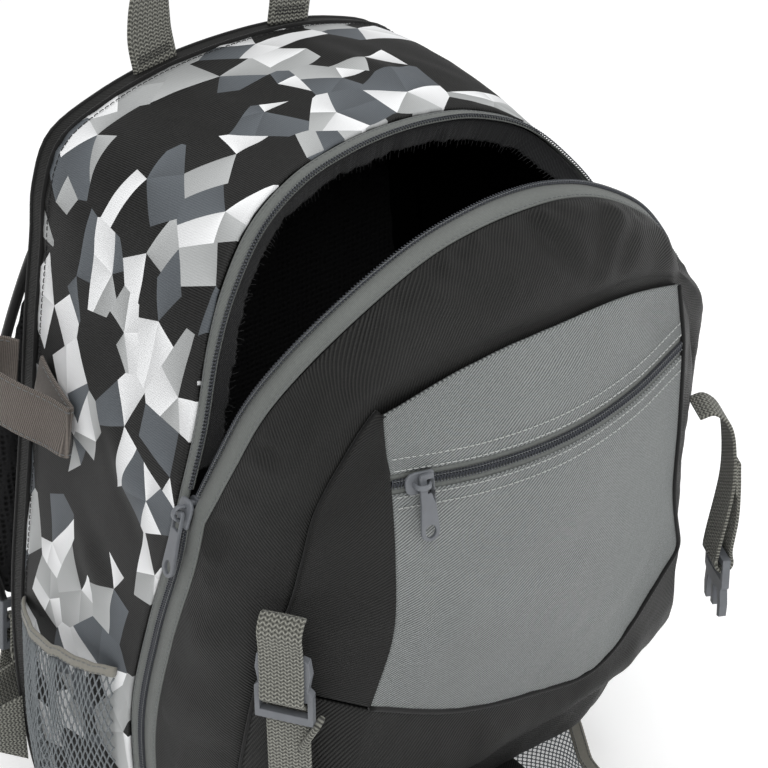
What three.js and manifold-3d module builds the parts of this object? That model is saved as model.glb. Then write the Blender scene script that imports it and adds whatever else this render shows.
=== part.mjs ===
// A youth baseball bat backpack, standing open on the floor, in millimetres.
// +X is to its right seen from the front, the front faces -Y and +Z is up.
// The origin is on the floor under the middle of the base.
import * as THREE from 'three';
import Module from 'manifold-3d';
import { mergeVertices } from 'three/addons/utils/BufferGeometryUtils.js';

const wasm = await Module();
wasm.setup();

// Driving sizes
const height = 400; // floor to the top of the back seam
const halfWidth = 140; // middle to the widest part of the side
const depth = 215; // back seam to the face of the front pocket
const backReach = 85; // origin to the back seam
const clothWall = 2; // lined polyester of the body
const pocketWall = 1.6; // unlined polyester of the pocket
const backPadThickness = 12;
const baseThickness = 2.4;
const netWall = 1.2;
const gap = 0.35; // clearance between neighbouring pieces
const sideBelly = 5; // how far the printed sides swell

// Slide fasteners
const chainWidth = 5.2;
const chainHeight = 2.4;
const tapeThickness = 1.1;
const rearTapeWidth = 6;
const frontTapeWidth = 8.5;
const sliderLength = 13;
const sliderWidth = 10;
const pullLength = 30;
const pullWidth = 8.5;
const pullThickness = 1.8;
const pocketZipWidth = 9;
const facingDrop = 12; // torn-edged strip that hangs inside the rear rim
const facingThickness = 0.8;

// Webbing and hard parts
const webThickness = 1.8;
const frontWebWidth = 20;
const shoulderWebWidth = 25;
const handleWidth = 24;
const handleRise = 60;
const handleHalfSpan = 38;
const loopWidth = 25;
const shoulderWidth = 62;
const shoulderThickness = 9;
const plugBar = 4;
const plugSlot = 8;
const plugProng = 18;
const plugThickness = 4;
const lockThickness = 5;
const lockBar = 4;
const lockSlot = 7;
const tabLength = 16;
const tabRoot = 40;
const socketLength = 34;
const socketWidth = 27;
const socketHeight = 9;
const flapLength = 186;
const flapHalfWidth = 86;
const flapThickness = 1.2;
const flapTapeWidth = 8;

// Places as shares of the driving sizes
const floorTop = baseThickness + gap;
const atX = share => share * halfWidth;
const atY = reach => backReach - reach * depth;
const atZ = rise => floorTop + rise * (height - floorTop);
const place = (x, reach, rise) => new THREE.Vector3(atX(x), atY(reach), atZ(rise));

// Left half of the arch from the floor to the top, mirrored for the right half:
// the back seam in its flat plane, and the rear half of the main fastener
const archRows = [
  { seamX: 0.84, seamZ: 0, zipX: 0.87, zipReach: 0.405, zipZ: 0 },
  { seamX: 0.90, seamZ: 0.030, zipX: 0.94, zipReach: 0.440, zipZ: 0.030 },
  { seamX: 0.95, seamZ: 0.090, zipX: 0.985, zipReach: 0.470, zipZ: 0.090 },
  { seamX: 0.98, seamZ: 0.220, zipX: 1.005, zipReach: 0.475, zipZ: 0.220 },
  { seamX: 0.97, seamZ: 0.359, zipX: 1.01, zipReach: 0.485, zipZ: 0.359 },
  { seamX: 0.915, seamZ: 0.497, zipX: 1.00, zipReach: 0.553, zipZ: 0.497 },
  { seamX: 0.865, seamZ: 0.610, zipX: 0.985, zipReach: 0.625, zipZ: 0.610 },
  { seamX: 0.84, seamZ: 0.673, zipX: 0.96, zipReach: 0.642, zipZ: 0.673 },
  { seamX: 0.81, seamZ: 0.748, zipX: 0.87, zipReach: 0.633, zipZ: 0.753 },
  { seamX: 0.77, seamZ: 0.829, zipX: 0.785, zipReach: 0.610, zipZ: 0.831 },
  { seamX: 0.745, seamZ: 0.889, zipX: 0.68, zipReach: 0.581, zipZ: 0.884 },
  { seamX: 0.67, seamZ: 0.942, zipX: 0.535, zipReach: 0.553, zipZ: 0.932 },
  { seamX: 0.485, seamZ: 0.970, zipX: 0.355, zipReach: 0.530, zipZ: 0.960 },
  { seamX: 0.255, seamZ: 0.987, zipX: 0.18, zipReach: 0.521, zipZ: 0.972 },
  { seamX: 0, seamZ: 0.992, zipX: 0, zipReach: 0.516, zipZ: 0.975 },
];

// The open front half of the fastener from the slider to the top. The right side
// of the panel slumps, so its rows lie lower by slump.
const sliderRow = 7;
const openRows = [
  { x: 0.96, reach: 0.642, rise: 0.673, slump: 0 },
  { x: 0.93, reach: 0.712, rise: 0.756, slump: 0.030 },
  { x: 0.87, reach: 0.758, rise: 0.824, slump: 0.052 },
  { x: 0.77, reach: 0.805, rise: 0.882, slump: 0.058 },
  { x: 0.585, reach: 0.833, rise: 0.930, slump: 0.038 },
  { x: 0.37, reach: 0.837, rise: 0.958, slump: 0.018 },
  { x: 0.18, reach: 0.837, rise: 0.970, slump: 0.006 },
  { x: 0, reach: 0.837, rise: 0.973, slump: 0 },
];

// The front panel behind its fastener edge, left half from the floor to the top:
// its swelling shoulder, the corner where the pocket is sewn on, and the middle line
const frontRows = [
  { swellX: 0.845, swellReach: 0.428, swellZ: 0, seamX: 0.77, seamReach: 0.442, seamZ: 0, midReach: 0.456, midZ: 0 },
  { swellX: 0.925, swellReach: 0.521, swellZ: 0.030, seamX: 0.83, seamReach: 0.567, seamZ: 0.030, midReach: 0.577, midZ: 0.030 },
  { swellX: 0.98, swellReach: 0.572, swellZ: 0.088, seamX: 0.88, seamReach: 0.637, seamZ: 0.086, midReach: 0.647, midZ: 0.085 },
  { swellX: 1.01, swellReach: 0.605, swellZ: 0.220, seamX: 0.93, seamReach: 0.693, seamZ: 0.218, midReach: 0.698, midZ: 0.200 },
  { swellX: 1.015, swellReach: 0.637, swellZ: 0.358, seamX: 0.935, seamReach: 0.749, seamZ: 0.357, midReach: 0.744, midZ: 0.310 },
  { swellX: 1.005, swellReach: 0.698, swellZ: 0.496, seamX: 0.907, seamReach: 0.800, seamZ: 0.494, midReach: 0.781, midZ: 0.398 },
  { swellX: 0.98, swellReach: 0.758, swellZ: 0.606, seamX: 0.85, seamReach: 0.856, seamZ: 0.596, midReach: 0.809, midZ: 0.468 },
  { swellX: 0.945, swellReach: 0.786, swellZ: 0.668, seamX: 0.82, seamReach: 0.874, seamZ: 0.653, midReach: 0.823, midZ: 0.506 },
  { swellX: 0.90, swellReach: 0.851, swellZ: 0.741, seamX: 0.78, seamReach: 0.884, seamZ: 0.711, midReach: 0.837, midZ: 0.541 },
  { swellX: 0.83, swellReach: 0.893, swellZ: 0.804, seamX: 0.714, seamReach: 0.907, seamZ: 0.766, midReach: 0.851, midZ: 0.574 },
  { swellX: 0.707, swellReach: 0.916, swellZ: 0.859, seamX: 0.607, seamReach: 0.930, seamZ: 0.821, midReach: 0.865, midZ: 0.606 },
  { swellX: 0.557, swellReach: 0.930, swellZ: 0.902, seamX: 0.47, seamReach: 0.953, seamZ: 0.842, midReach: 0.874, midZ: 0.639 },
  { swellX: 0.357, swellReach: 0.940, swellZ: 0.932, seamX: 0.314, seamReach: 0.972, seamZ: 0.852, midReach: 0.884, midZ: 0.669 },
  { swellX: 0.18, swellReach: 0.944, swellZ: 0.940, seamX: 0.157, seamReach: 0.981, seamZ: 0.857, midReach: 0.893, midZ: 0.699 },
  { swellX: 0, swellReach: 0.944, swellZ: 0.935, seamX: 0, seamReach: 0.986, seamZ: 0.857, midReach: 0.902, midZ: 0.729 },
];
const swellSlump = 0.8; // share of the edge's slump that the shoulder follows
const seamSlump = 0.2;

// Dents and folds: where along the arch (in rows) and across (0 to 1), how far
// they spread, and how deep they press in, as a share of the depth
const printedDents = [
  { along: 9.6, across: 0.45, spreadAlong: 1.0, spreadAcross: 0.22, press: 0.018 },
  { along: 6.2, across: 0.40, spreadAlong: 1.1, spreadAcross: 0.25, press: 0.022 },
  { along: 12.4, across: 0.60, spreadAlong: 0.9, spreadAcross: 0.25, press: 0.012 },
  { along: 18.2, across: 0.50, spreadAlong: 1.2, spreadAcross: 0.25, press: 0.016 },
];
const frontDents = [
  { along: 17.9, across: 0.20, spreadAlong: 0.7, spreadAcross: 0.10, press: 0.030 },
  { along: 9.9, across: 0.30, spreadAlong: 0.5, spreadAcross: 0.09, press: 0.018 },
  { along: 7.9, across: 0.32, spreadAlong: 0.35, spreadAcross: 0.10, press: 0.014 },
  { along: 13.0, across: 0.18, spreadAlong: 0.6, spreadAcross: 0.07, press: 0.010 },
];

// Rows across the pocket's face from its top seam to its bottom seam: half width,
// reach at the sides and in the middle, and the rise at five places across
const faceRows = [
  { halfX: 0.607, sideReach: 0.948, midReach: 1.000, rise: [0.817, 0.846, 0.853, 0.844, 0.812] },
  { halfX: 0.610, sideReach: 0.960, midReach: 1.012, rise: [0.776, 0.787, 0.790, 0.787, 0.776] },
  { halfX: 0.607, sideReach: 0.972, midReach: 1.035, rise: [0.742, 0.730, 0.726, 0.730, 0.742] },
  { halfX: 0.602, sideReach: 0.981, midReach: 1.040, rise: [0.648, 0.630, 0.622, 0.626, 0.645] },
  { halfX: 0.607, sideReach: 0.979, midReach: 1.028, rise: [0.556, 0.520, 0.500, 0.500, 0.545] },
  { halfX: 0.680, sideReach: 0.965, midReach: 0.963, rise: [0.468, 0.400, 0.360, 0.346, 0.455] },
];
const zipRow = 2;

const bandTopRow = 5;
const bandRimRow = 3.8;
const bandFootRow = 3.25;

// Places across the pocket's bottom band: the front lip, and how far its foot has
// gone from the corner (0.5) to the middle (1) of the front panel
const bandRows = [
  { x: -0.745, lipReach: 0.905, lipRise: 0.325, foot: 0.56 },
  { x: -0.52, lipReach: 0.930, lipRise: 0.302, foot: 0.70 },
  { x: -0.26, lipReach: 0.942, lipRise: 0.295, foot: 0.84 },
  { x: 0, lipReach: 0.946, lipRise: 0.293, foot: 1 },
  { x: 0.26, lipReach: 0.944, lipRise: 0.294, foot: 0.84 },
  { x: 0.52, lipReach: 0.932, lipRise: 0.298, foot: 0.70 },
  { x: 0.745, lipReach: 0.905, lipRise: 0.318, foot: 0.56 },
];

// Side nets: how far they stand off the printed side down the rows
const netTop = 4.12;
const netBottom = 0.3;
const netSlant = 0.2; // rows by which the top edge rises to the front
const netRows = [
  { row: netBottom, standOff: 0.010 },
  { row: 1.2, standOff: 0.036 },
  { row: 2.2, standOff: 0.052 },
  { row: 3.3, standOff: 0.052 },
  { row: netTop, standOff: 0.044 },
];
const netBack = 0.04;
const netFront = 0.90;
const netHolesUp = 5;
const netHolesAcross = 4;
const netStrand = 0.4; // width of a strand as a share of the pitch
const bindingHeight = 6.5;
const bindingThickness = 2.2;

// The bat loop: out from the back seam, round a fold at its front, and back against
// the printed side. Across is along the side, standOff is out from it in mm.
const batLoopRows = [
  { row: 7.08, across: -0.030, standOff: 8.0 },
  { row: 7.08, across: -0.085, standOff: 15 },
  { row: 7.05, across: -0.062, standOff: 25 },
  { row: 6.98, across: 0.04, standOff: 28 },
  { row: 6.85, across: 0.155, standOff: 20.5 },
  { row: 6.70, across: 0.255, standOff: 11 },
  { row: 6.60, across: 0.320, standOff: 6.6 },
  { row: 6.59, across: 0.334, standOff: 5.0 },
  { row: 6.60, across: 0.320, standOff: 3.3 },
  { row: 6.70, across: 0.255, standOff: 3.0 },
  { row: 6.85, across: 0.155, standOff: 2.4 },
  { row: 7.0, across: 0.05, standOff: 1.5 },
];

// Shoulder strap: x across the back, stand-off from the back pad in mm, rise, and
// its width as a share of the full width
const shoulderRows = [
  { x: -0.300, standOff: 5.2, rise: 0.935, wide: 0.90 },
  { x: -0.314, standOff: 5.6, rise: 0.889, wide: 1 },
  { x: -0.364, standOff: 16, rise: 0.824, wide: 1 },
  { x: -0.443, standOff: 30, rise: 0.728, wide: 1 },
  { x: -0.557, standOff: 38, rise: 0.597, wide: 1 },
  { x: -0.657, standOff: 38, rise: 0.471, wide: 0.95 },
  { x: -0.736, standOff: 34, rise: 0.366, wide: 0.80 },
  { x: -0.785, standOff: 28, rise: 0.290, wide: 0.50 },
];

// Gear flap on the floor: how far down its length, and its outer edge
const flapRows = [
  { down: 0, edge: 1.043 },
  { down: 0.124, edge: 0.936 },
  { down: 0.242, edge: 0.829 },
  { down: 0.403, edge: 0.771 },
  { down: 0.618, edge: 0.743 },
  { down: 0.833, edge: 0.714 },
  { down: 0.941, edge: 0.657 },
  { down: 0.990, edge: 0.571 },
];

// Materials
const finishes = {
  print: { color: 0xb5b8ba, roughness: 0.75, metalness: 0 },
  blackTwill: { color: 0x1c1c1b, roughness: 0.8, metalness: 0 },
  greyTwill: { color: 0x8a8e8e, roughness: 0.75, metalness: 0 },
  blackMesh: { color: 0x161616, roughness: 0.9, metalness: 0 },
  tape: { color: 0x64686a, roughness: 0.8, metalness: 0 },
  coil: { color: 0x555a62, roughness: 0.45, metalness: 0 },
  webbing: { color: 0x8c8c84, roughness: 0.8, metalness: 0 },
  taupeBand: { color: 0x6e6762, roughness: 0.8, metalness: 0 },
  net: { color: 0x6e767a, roughness: 0.6, metalness: 0 },
  binding: { color: 0x8c8980, roughness: 0.7, metalness: 0 },
  facing: { color: 0x3c3e40, roughness: 0.9, metalness: 0 },
  greyPlastic: { color: 0x73767a, roughness: 0.4, metalness: 0 },
};
const bag = new THREE.Group();

function addMesh(name, finish, geometry) {
  const mesh = new THREE.Mesh(geometry, new THREE.MeshStandardMaterial(finishes[finish]));
  mesh.name = name;
  bag.add(mesh);
  return mesh;
}

// Curves and surfaces
function smoothCurve(points) {
  return new THREE.CatmullRomCurve3(points, false, 'catmullrom', 0.5);
}

// A curve over both halves of the arch, read in rows from 0 at the left foot
function archCurve(rows, pointOf) {
  const left = rows.map(row => pointOf(row, -1));
  const right = rows.slice(0, -1).reverse().map(row => pointOf(row, 1));
  const curve = smoothCurve([...left, ...right]);
  const last = left.length + right.length - 1;
  return row => curve.getPoint(THREE.MathUtils.clamp(row / last, 0, 1));
}

const topRow = archRows.length - 1;
const lastRow = 2 * topRow;
const backSeam = archCurve(archRows, (r, side) => place(side * r.seamX, 0, r.seamZ));
const rearZip = archCurve(archRows, (r, side) => place(side * r.zipX, r.zipReach, r.zipZ));
const openZip = archCurve(openRows, (r, side) => place(side * r.x, r.reach, r.rise - (side > 0 ? r.slump : 0)));
const slumpAt = (index, side) => (side > 0 && index >= sliderRow ? openRows[index - sliderRow].slump : 0);
const swell = archCurve(frontRows, (r, side) => place(
  side * r.swellX, r.swellReach, r.swellZ - swellSlump * slumpAt(frontRows.indexOf(r), side)));
const pocketSeam = archCurve(frontRows, (r, side) => place(
  side * r.seamX, r.seamReach, r.seamZ - seamSlump * slumpAt(frontRows.indexOf(r), side)));
const middleLine = archCurve(frontRows, r => place(0, r.midReach, r.midZ));

function frontZip(row) {
  const open = row > sliderRow && row < lastRow - sliderRow;
  return open ? openZip(row - sliderRow) : rearZip(row);
}

function pressOf(dents, along, across) {
  let press = 0;
  for (const d of dents) {
    const a = (along - d.along) / d.spreadAlong;
    const b = (across - d.across) / d.spreadAcross;
    press += d.press * depth * Math.exp(-a * a - b * b);
  }
  return press;
}

// Direction out of the arch at a row, square to the back seam in its plane
function outwardAt(row) {
  const step = 0.05;
  const ahead = backSeam(Math.min(row + step, lastRow));
  const behind = backSeam(Math.max(row - step, 0));
  const along = ahead.sub(behind);
  return new THREE.Vector3(-along.z, 0, along.x).normalize();
}

const sewnRows = 1.5; // the base holds the sides flat over these rows
const edgeSetback = chainWidth / 2 + rearTapeWidth + gap;
const frontSetback = chainWidth / 2 + frontTapeWidth;

// The printed side: across runs from the back seam (0) to the fastener's tape (1)
function printedPoint(row, across) {
  const seam = backSeam(row);
  const zip = rearZip(row);
  const reach = zip.distanceTo(seam);
  const share = gap / reach + across * (1 - (edgeSetback + gap) / reach);
  const freedom = THREE.MathUtils.smoothstep(Math.min(row, lastRow - row), 0, sewnRows);
  const swelling = freedom * (sideBelly * Math.sin(Math.PI * share) - pressOf(printedDents, row, share));
  return seam.lerp(zip, share).addScaledVector(outwardAt(row), swelling);
}

// The front panel: across runs from the fastener (0) over the swelling shoulder (0.25)
// and the pocket's seam (0.5) to the middle line (1)
const middleLead = 0.3;
function frontPoint(row, across) {
  const edge = frontZip(row);
  const seam = pocketSeam(row);
  const middle = middleLine(row);
  const lead = seam.clone().lerp(middle, middleLead);
  const curve = smoothCurve([edge, swell(row), seam, lead, middle]);
  const point = curve.getPoint(across);
  return point.add(new THREE.Vector3(0, pressOf(frontDents, row, across), 0));
}

function frontNormal(row, across) {
  const step = 0.02;
  const alongRow = frontPoint(row + step, across).sub(frontPoint(row - step, across));
  const up = Math.min(across + step, 1);
  const down = Math.max(across - step, 0);
  const alongSpoke = frontPoint(row, up).sub(frontPoint(row, down));
  const normal = alongRow.cross(alongSpoke).normalize();
  const outward = frontPoint(row, across).sub(new THREE.Vector3(0, backReach / 2, height / 2));
  return normal.dot(outward) < 0 ? normal.negate() : normal;
}

// How far across the front panel a length from its edge reaches
function acrossAt(row, length) {
  const edge = frontPoint(row, 0);
  let low = 0;
  let high = 0.5;
  for (let i = 0; i < 18; i += 1) {
    const half = (low + high) / 2;
    if (frontPoint(row, half).distanceTo(edge) < length) low = half;
    else high = half;
  }
  return high;
}

// Closed bodies
function bodyFrom(points, faces) {
  const flat = points.flatMap(p => [p.x, p.y, p.z]);
  let volume = 0;
  for (const [a, b, c] of faces) {
    volume += points[a].dot(new THREE.Vector3().crossVectors(points[b], points[c]));
  }
  const ordered = volume < 0 ? faces.map(([a, b, c]) => [a, c, b]) : faces;
  const geometry = new THREE.BufferGeometry();
  geometry.setAttribute('position', new THREE.Float32BufferAttribute(flat, 3));
  geometry.setIndex(ordered.flat());
  geometry.computeVertexNormals();
  return geometry;
}

// A sheet with a wall, from points on its outer face; inside is a point behind it.
// A folded sheet meets itself along its last column, so both halves share it.
function sheetBody({ acrossCount, alongCount, pointAt, wall, inside, folded = false, isHole = () => false }) {
  const outer = [];
  for (let i = 0; i <= alongCount; i += 1) {
    for (let j = 0; j <= acrossCount; j += 1) outer.push(pointAt(i / alongCount, j / acrossCount));
  }
  const at = (i, j) => outer[THREE.MathUtils.clamp(i, 0, alongCount) * (acrossCount + 1)
    + THREE.MathUtils.clamp(j, 0, acrossCount)];
  const normals = [];
  let facing = 0;
  for (let i = 0; i <= alongCount; i += 1) {
    for (let j = 0; j <= acrossCount; j += 1) {
      const down = at(i + 1, j).clone().sub(at(i - 1, j));
      const right = at(i, j + 1).clone().sub(at(i, j - 1));
      const normal = down.cross(right).normalize();
      facing += normal.dot(at(i, j).clone().sub(inside));
      normals.push(normal);
    }
  }
  const lastOf = i => i * (acrossCount + 1) + acrossCount;
  for (let i = 0; folded && i <= alongCount / 2; i += 1) {
    const shared = normals[lastOf(i)].add(normals[lastOf(alongCount - i)]).normalize();
    normals[lastOf(alongCount - i)] = shared;
  }
  const sign = facing < 0 ? -1 : 1;
  const inner = outer.map((p, k) => p.clone().addScaledVector(normals[k], -sign * wall));
  const count = outer.length;
  const vertex = (i, j, layer) => {
    const row = folded && j === acrossCount ? Math.min(i, alongCount - i) : i;
    return row * (acrossCount + 1) + j + layer * count;
  };
  const solid = (i, j) => i >= 0 && j >= 0 && i < alongCount && j < acrossCount && !isHole(i, j);
  const faces = [];
  const quad = (a, b, c, d) => faces.push([a, b, c], [a, c, d]);
  for (let i = 0; i < alongCount; i += 1) {
    for (let j = 0; j < acrossCount; j += 1) {
      if (!solid(i, j)) continue;
      quad(vertex(i, j, 0), vertex(i + 1, j, 0), vertex(i + 1, j + 1, 0), vertex(i, j + 1, 0));
      quad(vertex(i, j, 1), vertex(i, j + 1, 1), vertex(i + 1, j + 1, 1), vertex(i + 1, j, 1));
      const corners = [[i, j], [i + 1, j], [i + 1, j + 1], [i, j + 1]];
      const neighbours = [[i, j - 1], [i + 1, j], [i, j + 1], [i - 1, j]];
      neighbours.forEach(([ni, nj], k) => {
        if (solid(ni, nj) || (folded && nj === acrossCount)) return;
        const [ai, aj] = corners[k];
        const [bi, bj] = corners[(k + 1) % 4];
        quad(vertex(bi, bj, 0), vertex(ai, aj, 0), vertex(ai, aj, 1), vertex(bi, bj, 1));
      });
    }
  }
  const used = [...new Set(faces.flat())];
  const renumber = new Map(used.map((old, k) => [old, k]));
  const all = [...outer, ...inner];
  return bodyFrom(used.map(k => all[k]), faces.map(f => f.map(k => renumber.get(k))));
}

// A band swept through frames, each with a centre, a width and a thickness direction
function sweptBody(frames, section) {
  const points = [];
  for (const frame of frames) {
    for (const [across, up] of section) {
      points.push(frame.centre.clone()
        .addScaledVector(frame.width, across * (frame.wide ?? 1)).addScaledVector(frame.normal, up));
    }
  }
  const sides = section.length;
  const last = (frames.length - 1) * sides;
  const faces = [];
  for (let i = 0; i < frames.length - 1; i += 1) {
    for (let k = 0; k < sides; k += 1) {
      const next = (k + 1) % sides;
      const a = i * sides + k;
      const b = i * sides + next;
      faces.push([a, b, b + sides], [a, b + sides, a + sides]);
    }
  }
  const contour = section.map(([across, up]) => new THREE.Vector2(across, up));
  for (const [a, b, c] of THREE.ShapeUtils.triangulateShape(contour, [])) {
    faces.push([a, c, b], [last + a, last + b, last + c]);
  }
  return bodyFrom(points, faces);
}

const boxSection = (width, thickness, lift = 0) => [
  [-width / 2, lift - thickness / 2], [width / 2, lift - thickness / 2],
  [width / 2, lift + thickness / 2], [-width / 2, lift + thickness / 2],
];

// Frames of a band that follows a route, with its width turned from one direction
// to another by a share of the way
function routeFrames(points, steps, widthStart, widthEnd = widthStart, turnedBy = 1) {
  const curve = smoothCurve(points);
  const frames = [];
  for (let i = 0; i <= steps; i += 1) {
    const t = i / steps;
    const tangent = curve.getTangent(t);
    const width = widthStart.clone().lerp(widthEnd, Math.min(t / turnedBy, 1));
    width.addScaledVector(tangent, -width.dot(tangent)).normalize();
    const normal = new THREE.Vector3().crossVectors(tangent, width).normalize();
    frames.push({ centre: curve.getPoint(t), width, normal, tangent });
  }
  return frames;
}

const vectors = (route, mirror = 1) => route.map(([x, y, z]) => new THREE.Vector3(mirror * x, y, z));
const bagInside = new THREE.Vector3(0, backReach / 3, height / 2);

// Body of the bag
function addBody() {
  const outline = [];
  const steps = 1.5 * lastRow;
  for (let i = 0; i <= steps; i += 1) {
    const p = backSeam(lastRow * i / steps);
    outline.push(new THREE.Vector2(p.x, p.z - floorTop));
  }
  const foot = outline[0];
  const shape = new THREE.Shape([new THREE.Vector2(foot.x, -floorTop), ...outline,
    new THREE.Vector2(-foot.x, -floorTop)]);
  const bevel = backPadThickness / 4;
  const pad = new THREE.ExtrudeGeometry(shape, {
    depth: backPadThickness - 2 * bevel, bevelEnabled: true, bevelSize: bevel, bevelOffset: -bevel,
    bevelThickness: bevel, bevelSegments: 1,
  });
  pad.rotateX(Math.PI / 2).translate(0, backReach + backPadThickness - bevel, floorTop);
  addMesh('back_panel', 'blackMesh', pad);

  addMesh('printed_gusset', 'print', sheetBody({
    alongCount: 2 * lastRow, acrossCount: 4, wall: clothWall, inside: bagInside,
    pointAt: (a, b) => printedPoint(a * lastRow, b),
  }));

  addMesh('front_panel', 'blackTwill', sheetBody({
    alongCount: 2 * lastRow, acrossCount: 6, wall: clothWall, inside: bagInside, folded: true,
    pointAt: (a, b) => {
      const row = a * lastRow;
      const start = acrossAt(row, frontSetback + 2 * gap);
      return frontPoint(row, start + b * (1 - start));
    },
  }));

  const rim = [];
  const sideSteps = 4;
  for (let i = 0; i <= sideSteps; i += 1) rim.push(printedPoint(0, i / sideSteps));
  for (let i = 0; i <= sideSteps; i += 1) rim.push(frontPoint(0, 0.1 + 0.4 * i / sideSteps));
  const left = rim.map(p => new THREE.Vector2(p.x, p.y));
  const right = left.map(p => new THREE.Vector2(-p.x, p.y)).reverse();
  const base = new THREE.ExtrudeGeometry(new THREE.Shape([...left, ...right]), {
    depth: baseThickness, bevelEnabled: false,
  });
  addMesh('base_panel', 'blackTwill', base);
}
addBody();

// Main fastener: two tapes over the whole arch, open rows of teeth at the top and
// a closed chain below each slider
function tapeFrame(row, front) {
  const step = 0.02;
  const edge = front ? frontZip(row) : rearZip(row);
  const inward = front ? frontPoint(row, acrossAt(row, frontSetback)).sub(edge) : backSeam(row).sub(edge);
  const normal = front ? frontNormal(row, 0.04) : outwardAt(row);
  const along = rearZip(Math.min(row + step, lastRow)).sub(rearZip(Math.max(row - step, 0))).normalize();
  const width = inward.normalize();
  normal.addScaledVector(width, -normal.dot(width)).normalize();
  return { centre: edge, width, normal, tangent: along };
}

// The ends of a stretch and the half rows between them, so that strips which run
// side by side bend at the same places
function rowsBetween(from, to) {
  const rows = [from];
  for (let row = Math.floor(from * 2 + 1) / 2; row < to; row += 0.5) rows.push(row);
  return [...rows, to];
}

function stripAlong(front, fromRow, toRow, nearEdge, farEdge, thickness) {
  const frames = rowsBetween(fromRow, toRow).map(row => tapeFrame(row, front));
  const top = thickness - tapeThickness;
  const section = [[nearEdge, -tapeThickness], [farEdge, -tapeThickness], [farEdge, top], [nearEdge, top]];
  return sweptBody(frames, section);
}

const rowLength = rearZip(sliderRow).distanceTo(rearZip(sliderRow - 1));
const sliderHalfRows = (sliderLength / 2 + gap) / rowLength;
const openStart = sliderRow + sliderHalfRows + 3 * gap / rowLength;

function addMainFastener() {
  const tapeNear = chainWidth / 2 + gap;
  addMesh('rear_zip_tape', 'tape', stripAlong(false, 0, lastRow, tapeNear,
    chainWidth / 2 + rearTapeWidth, tapeThickness));
  addMesh('front_zip_tape', 'tape', stripAlong(true, 0, lastRow, tapeNear + gap,
    chainWidth / 2 + frontTapeWidth, tapeThickness));
  addMesh('rear_zip_teeth', 'coil', stripAlong(false, openStart, lastRow - openStart,
    gap / 2, chainWidth / 2, chainHeight));
  addMesh('front_zip_teeth', 'coil', stripAlong(true, openStart, lastRow - openStart,
    gap / 2, chainWidth / 2, chainHeight));
  for (const [side, name] of [[-1, 'left'], [1, 'right']]) {
    const rowOf = row => (side < 0 ? row : lastRow - row);
    const frames = rowsBetween(0, sliderRow - sliderHalfRows).map(row => tapeFrame(rowOf(row), false));
    addMesh(`closed_zip_${name}`, 'coil', sweptBody(frames, boxSection(chainWidth, chainHeight, chainHeight / 2 - tapeThickness)));
  }
}
addMainFastener();

// Slider and pull of a fastener, in their own frame: x across the chain, y up it and
// z out of the cloth. The pull turns on its top bar, under the slider's arch.
const plateThickness = 1.6;
const coreWidth = chainWidth - 2 * gap;
const archInner = 2.5;
const archBar = 1.2;
const archWidth = 2.4;
const barRadius = pullThickness * Math.SQRT1_2;
const axisRise = 2 * gap + plateThickness + Math.hypot(barRadius, pullThickness / 2);
const eyeWidth = archWidth + 2.2;
const sideEyeWidth = archBar + 1.4;
const sideEyeOffset = 1.3;
const eyeLength = archInner + archBar + 2.6;

function sliderGeometry() {
  const under = -Math.max(tapeThickness, chainHeight) - gap;
  const half = sliderLength / 2;
  const frames = [-half, half].map(y => ({
    centre: new THREE.Vector3(0, y, 0), width: new THREE.Vector3(1, 0, 0), normal: new THREE.Vector3(0, 0, 1),
  }));
  const wide = sliderWidth / 2;
  const core = coreWidth / 2;
  const section = [
    [-wide, under - plateThickness], [wide, under - plateThickness], [wide, under], [core, under],
    [core, gap], [wide, gap], [wide, gap + plateThickness], [-wide, gap + plateThickness],
    [-wide, gap], [-core, gap], [-core, under], [-wide, under],
  ];
  const body = sweptBody(frames, section);
  const arch = new THREE.Shape();
  const outer = archInner + archBar;
  const foot = gap + plateThickness / 2 - axisRise;
  arch.moveTo(outer, foot).lineTo(outer, 0).absarc(0, 0, outer, 0, Math.PI, false);
  arch.lineTo(-outer, foot).lineTo(-archInner, foot).lineTo(-archInner, 0);
  arch.absarc(0, 0, archInner, Math.PI, 0, true);
  arch.lineTo(archInner, foot);
  const bow = new THREE.ExtrudeGeometry(arch, { depth: archWidth, bevelEnabled: false, curveSegments: 6 });
  bow.rotateX(Math.PI / 2).rotateZ(Math.PI / 2).translate(-archWidth / 2, 0, axisRise);
  return joined([body, bow]);
}

function roundPath(x, y, radius, sides = 12) {
  const points = [];
  for (let i = 0; i < sides; i += 1) {
    const angle = 2 * Math.PI * i / sides;
    points.push(new THREE.Vector2(x + radius * Math.cos(angle), y + radius * Math.sin(angle)));
  }
  return new THREE.Path(points);
}

function pullShape(eyeOffset, eyeWidth) {
  const half = pullWidth / 2;
  const neck = half * 0.82;
  const shape = new THREE.Shape();
  const top = barRadius;
  shape.moveTo(-neck, top - 1).quadraticCurveTo(-neck, top, -neck + 1, top);
  shape.lineTo(neck - 1, top).quadraticCurveTo(neck, top, neck, top - 1);
  shape.lineTo(half, -pullLength + half);
  shape.absarc(0, -pullLength + half, half, 0, -Math.PI, true);
  const eye = new THREE.Path();
  const wide = eyeWidth / 2;
  eye.moveTo(eyeOffset - wide, -barRadius).lineTo(eyeOffset - wide, -barRadius - eyeLength);
  eye.lineTo(eyeOffset + wide, -barRadius - eyeLength).lineTo(eyeOffset + wide, -barRadius);
  const hole = roundPath(0, -pullLength + half * 1.15, half * 0.42);
  shape.holes.push(eye, hole);
  return shape;
}

function pullGeometry(eyeOffset = 0, width = eyeWidth) {
  const plate = new THREE.ExtrudeGeometry(pullShape(eyeOffset, width), {
    depth: pullThickness, bevelEnabled: false, curveSegments: 5,
  });
  return plate.translate(0, 0, -pullThickness / 2);
}

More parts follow.
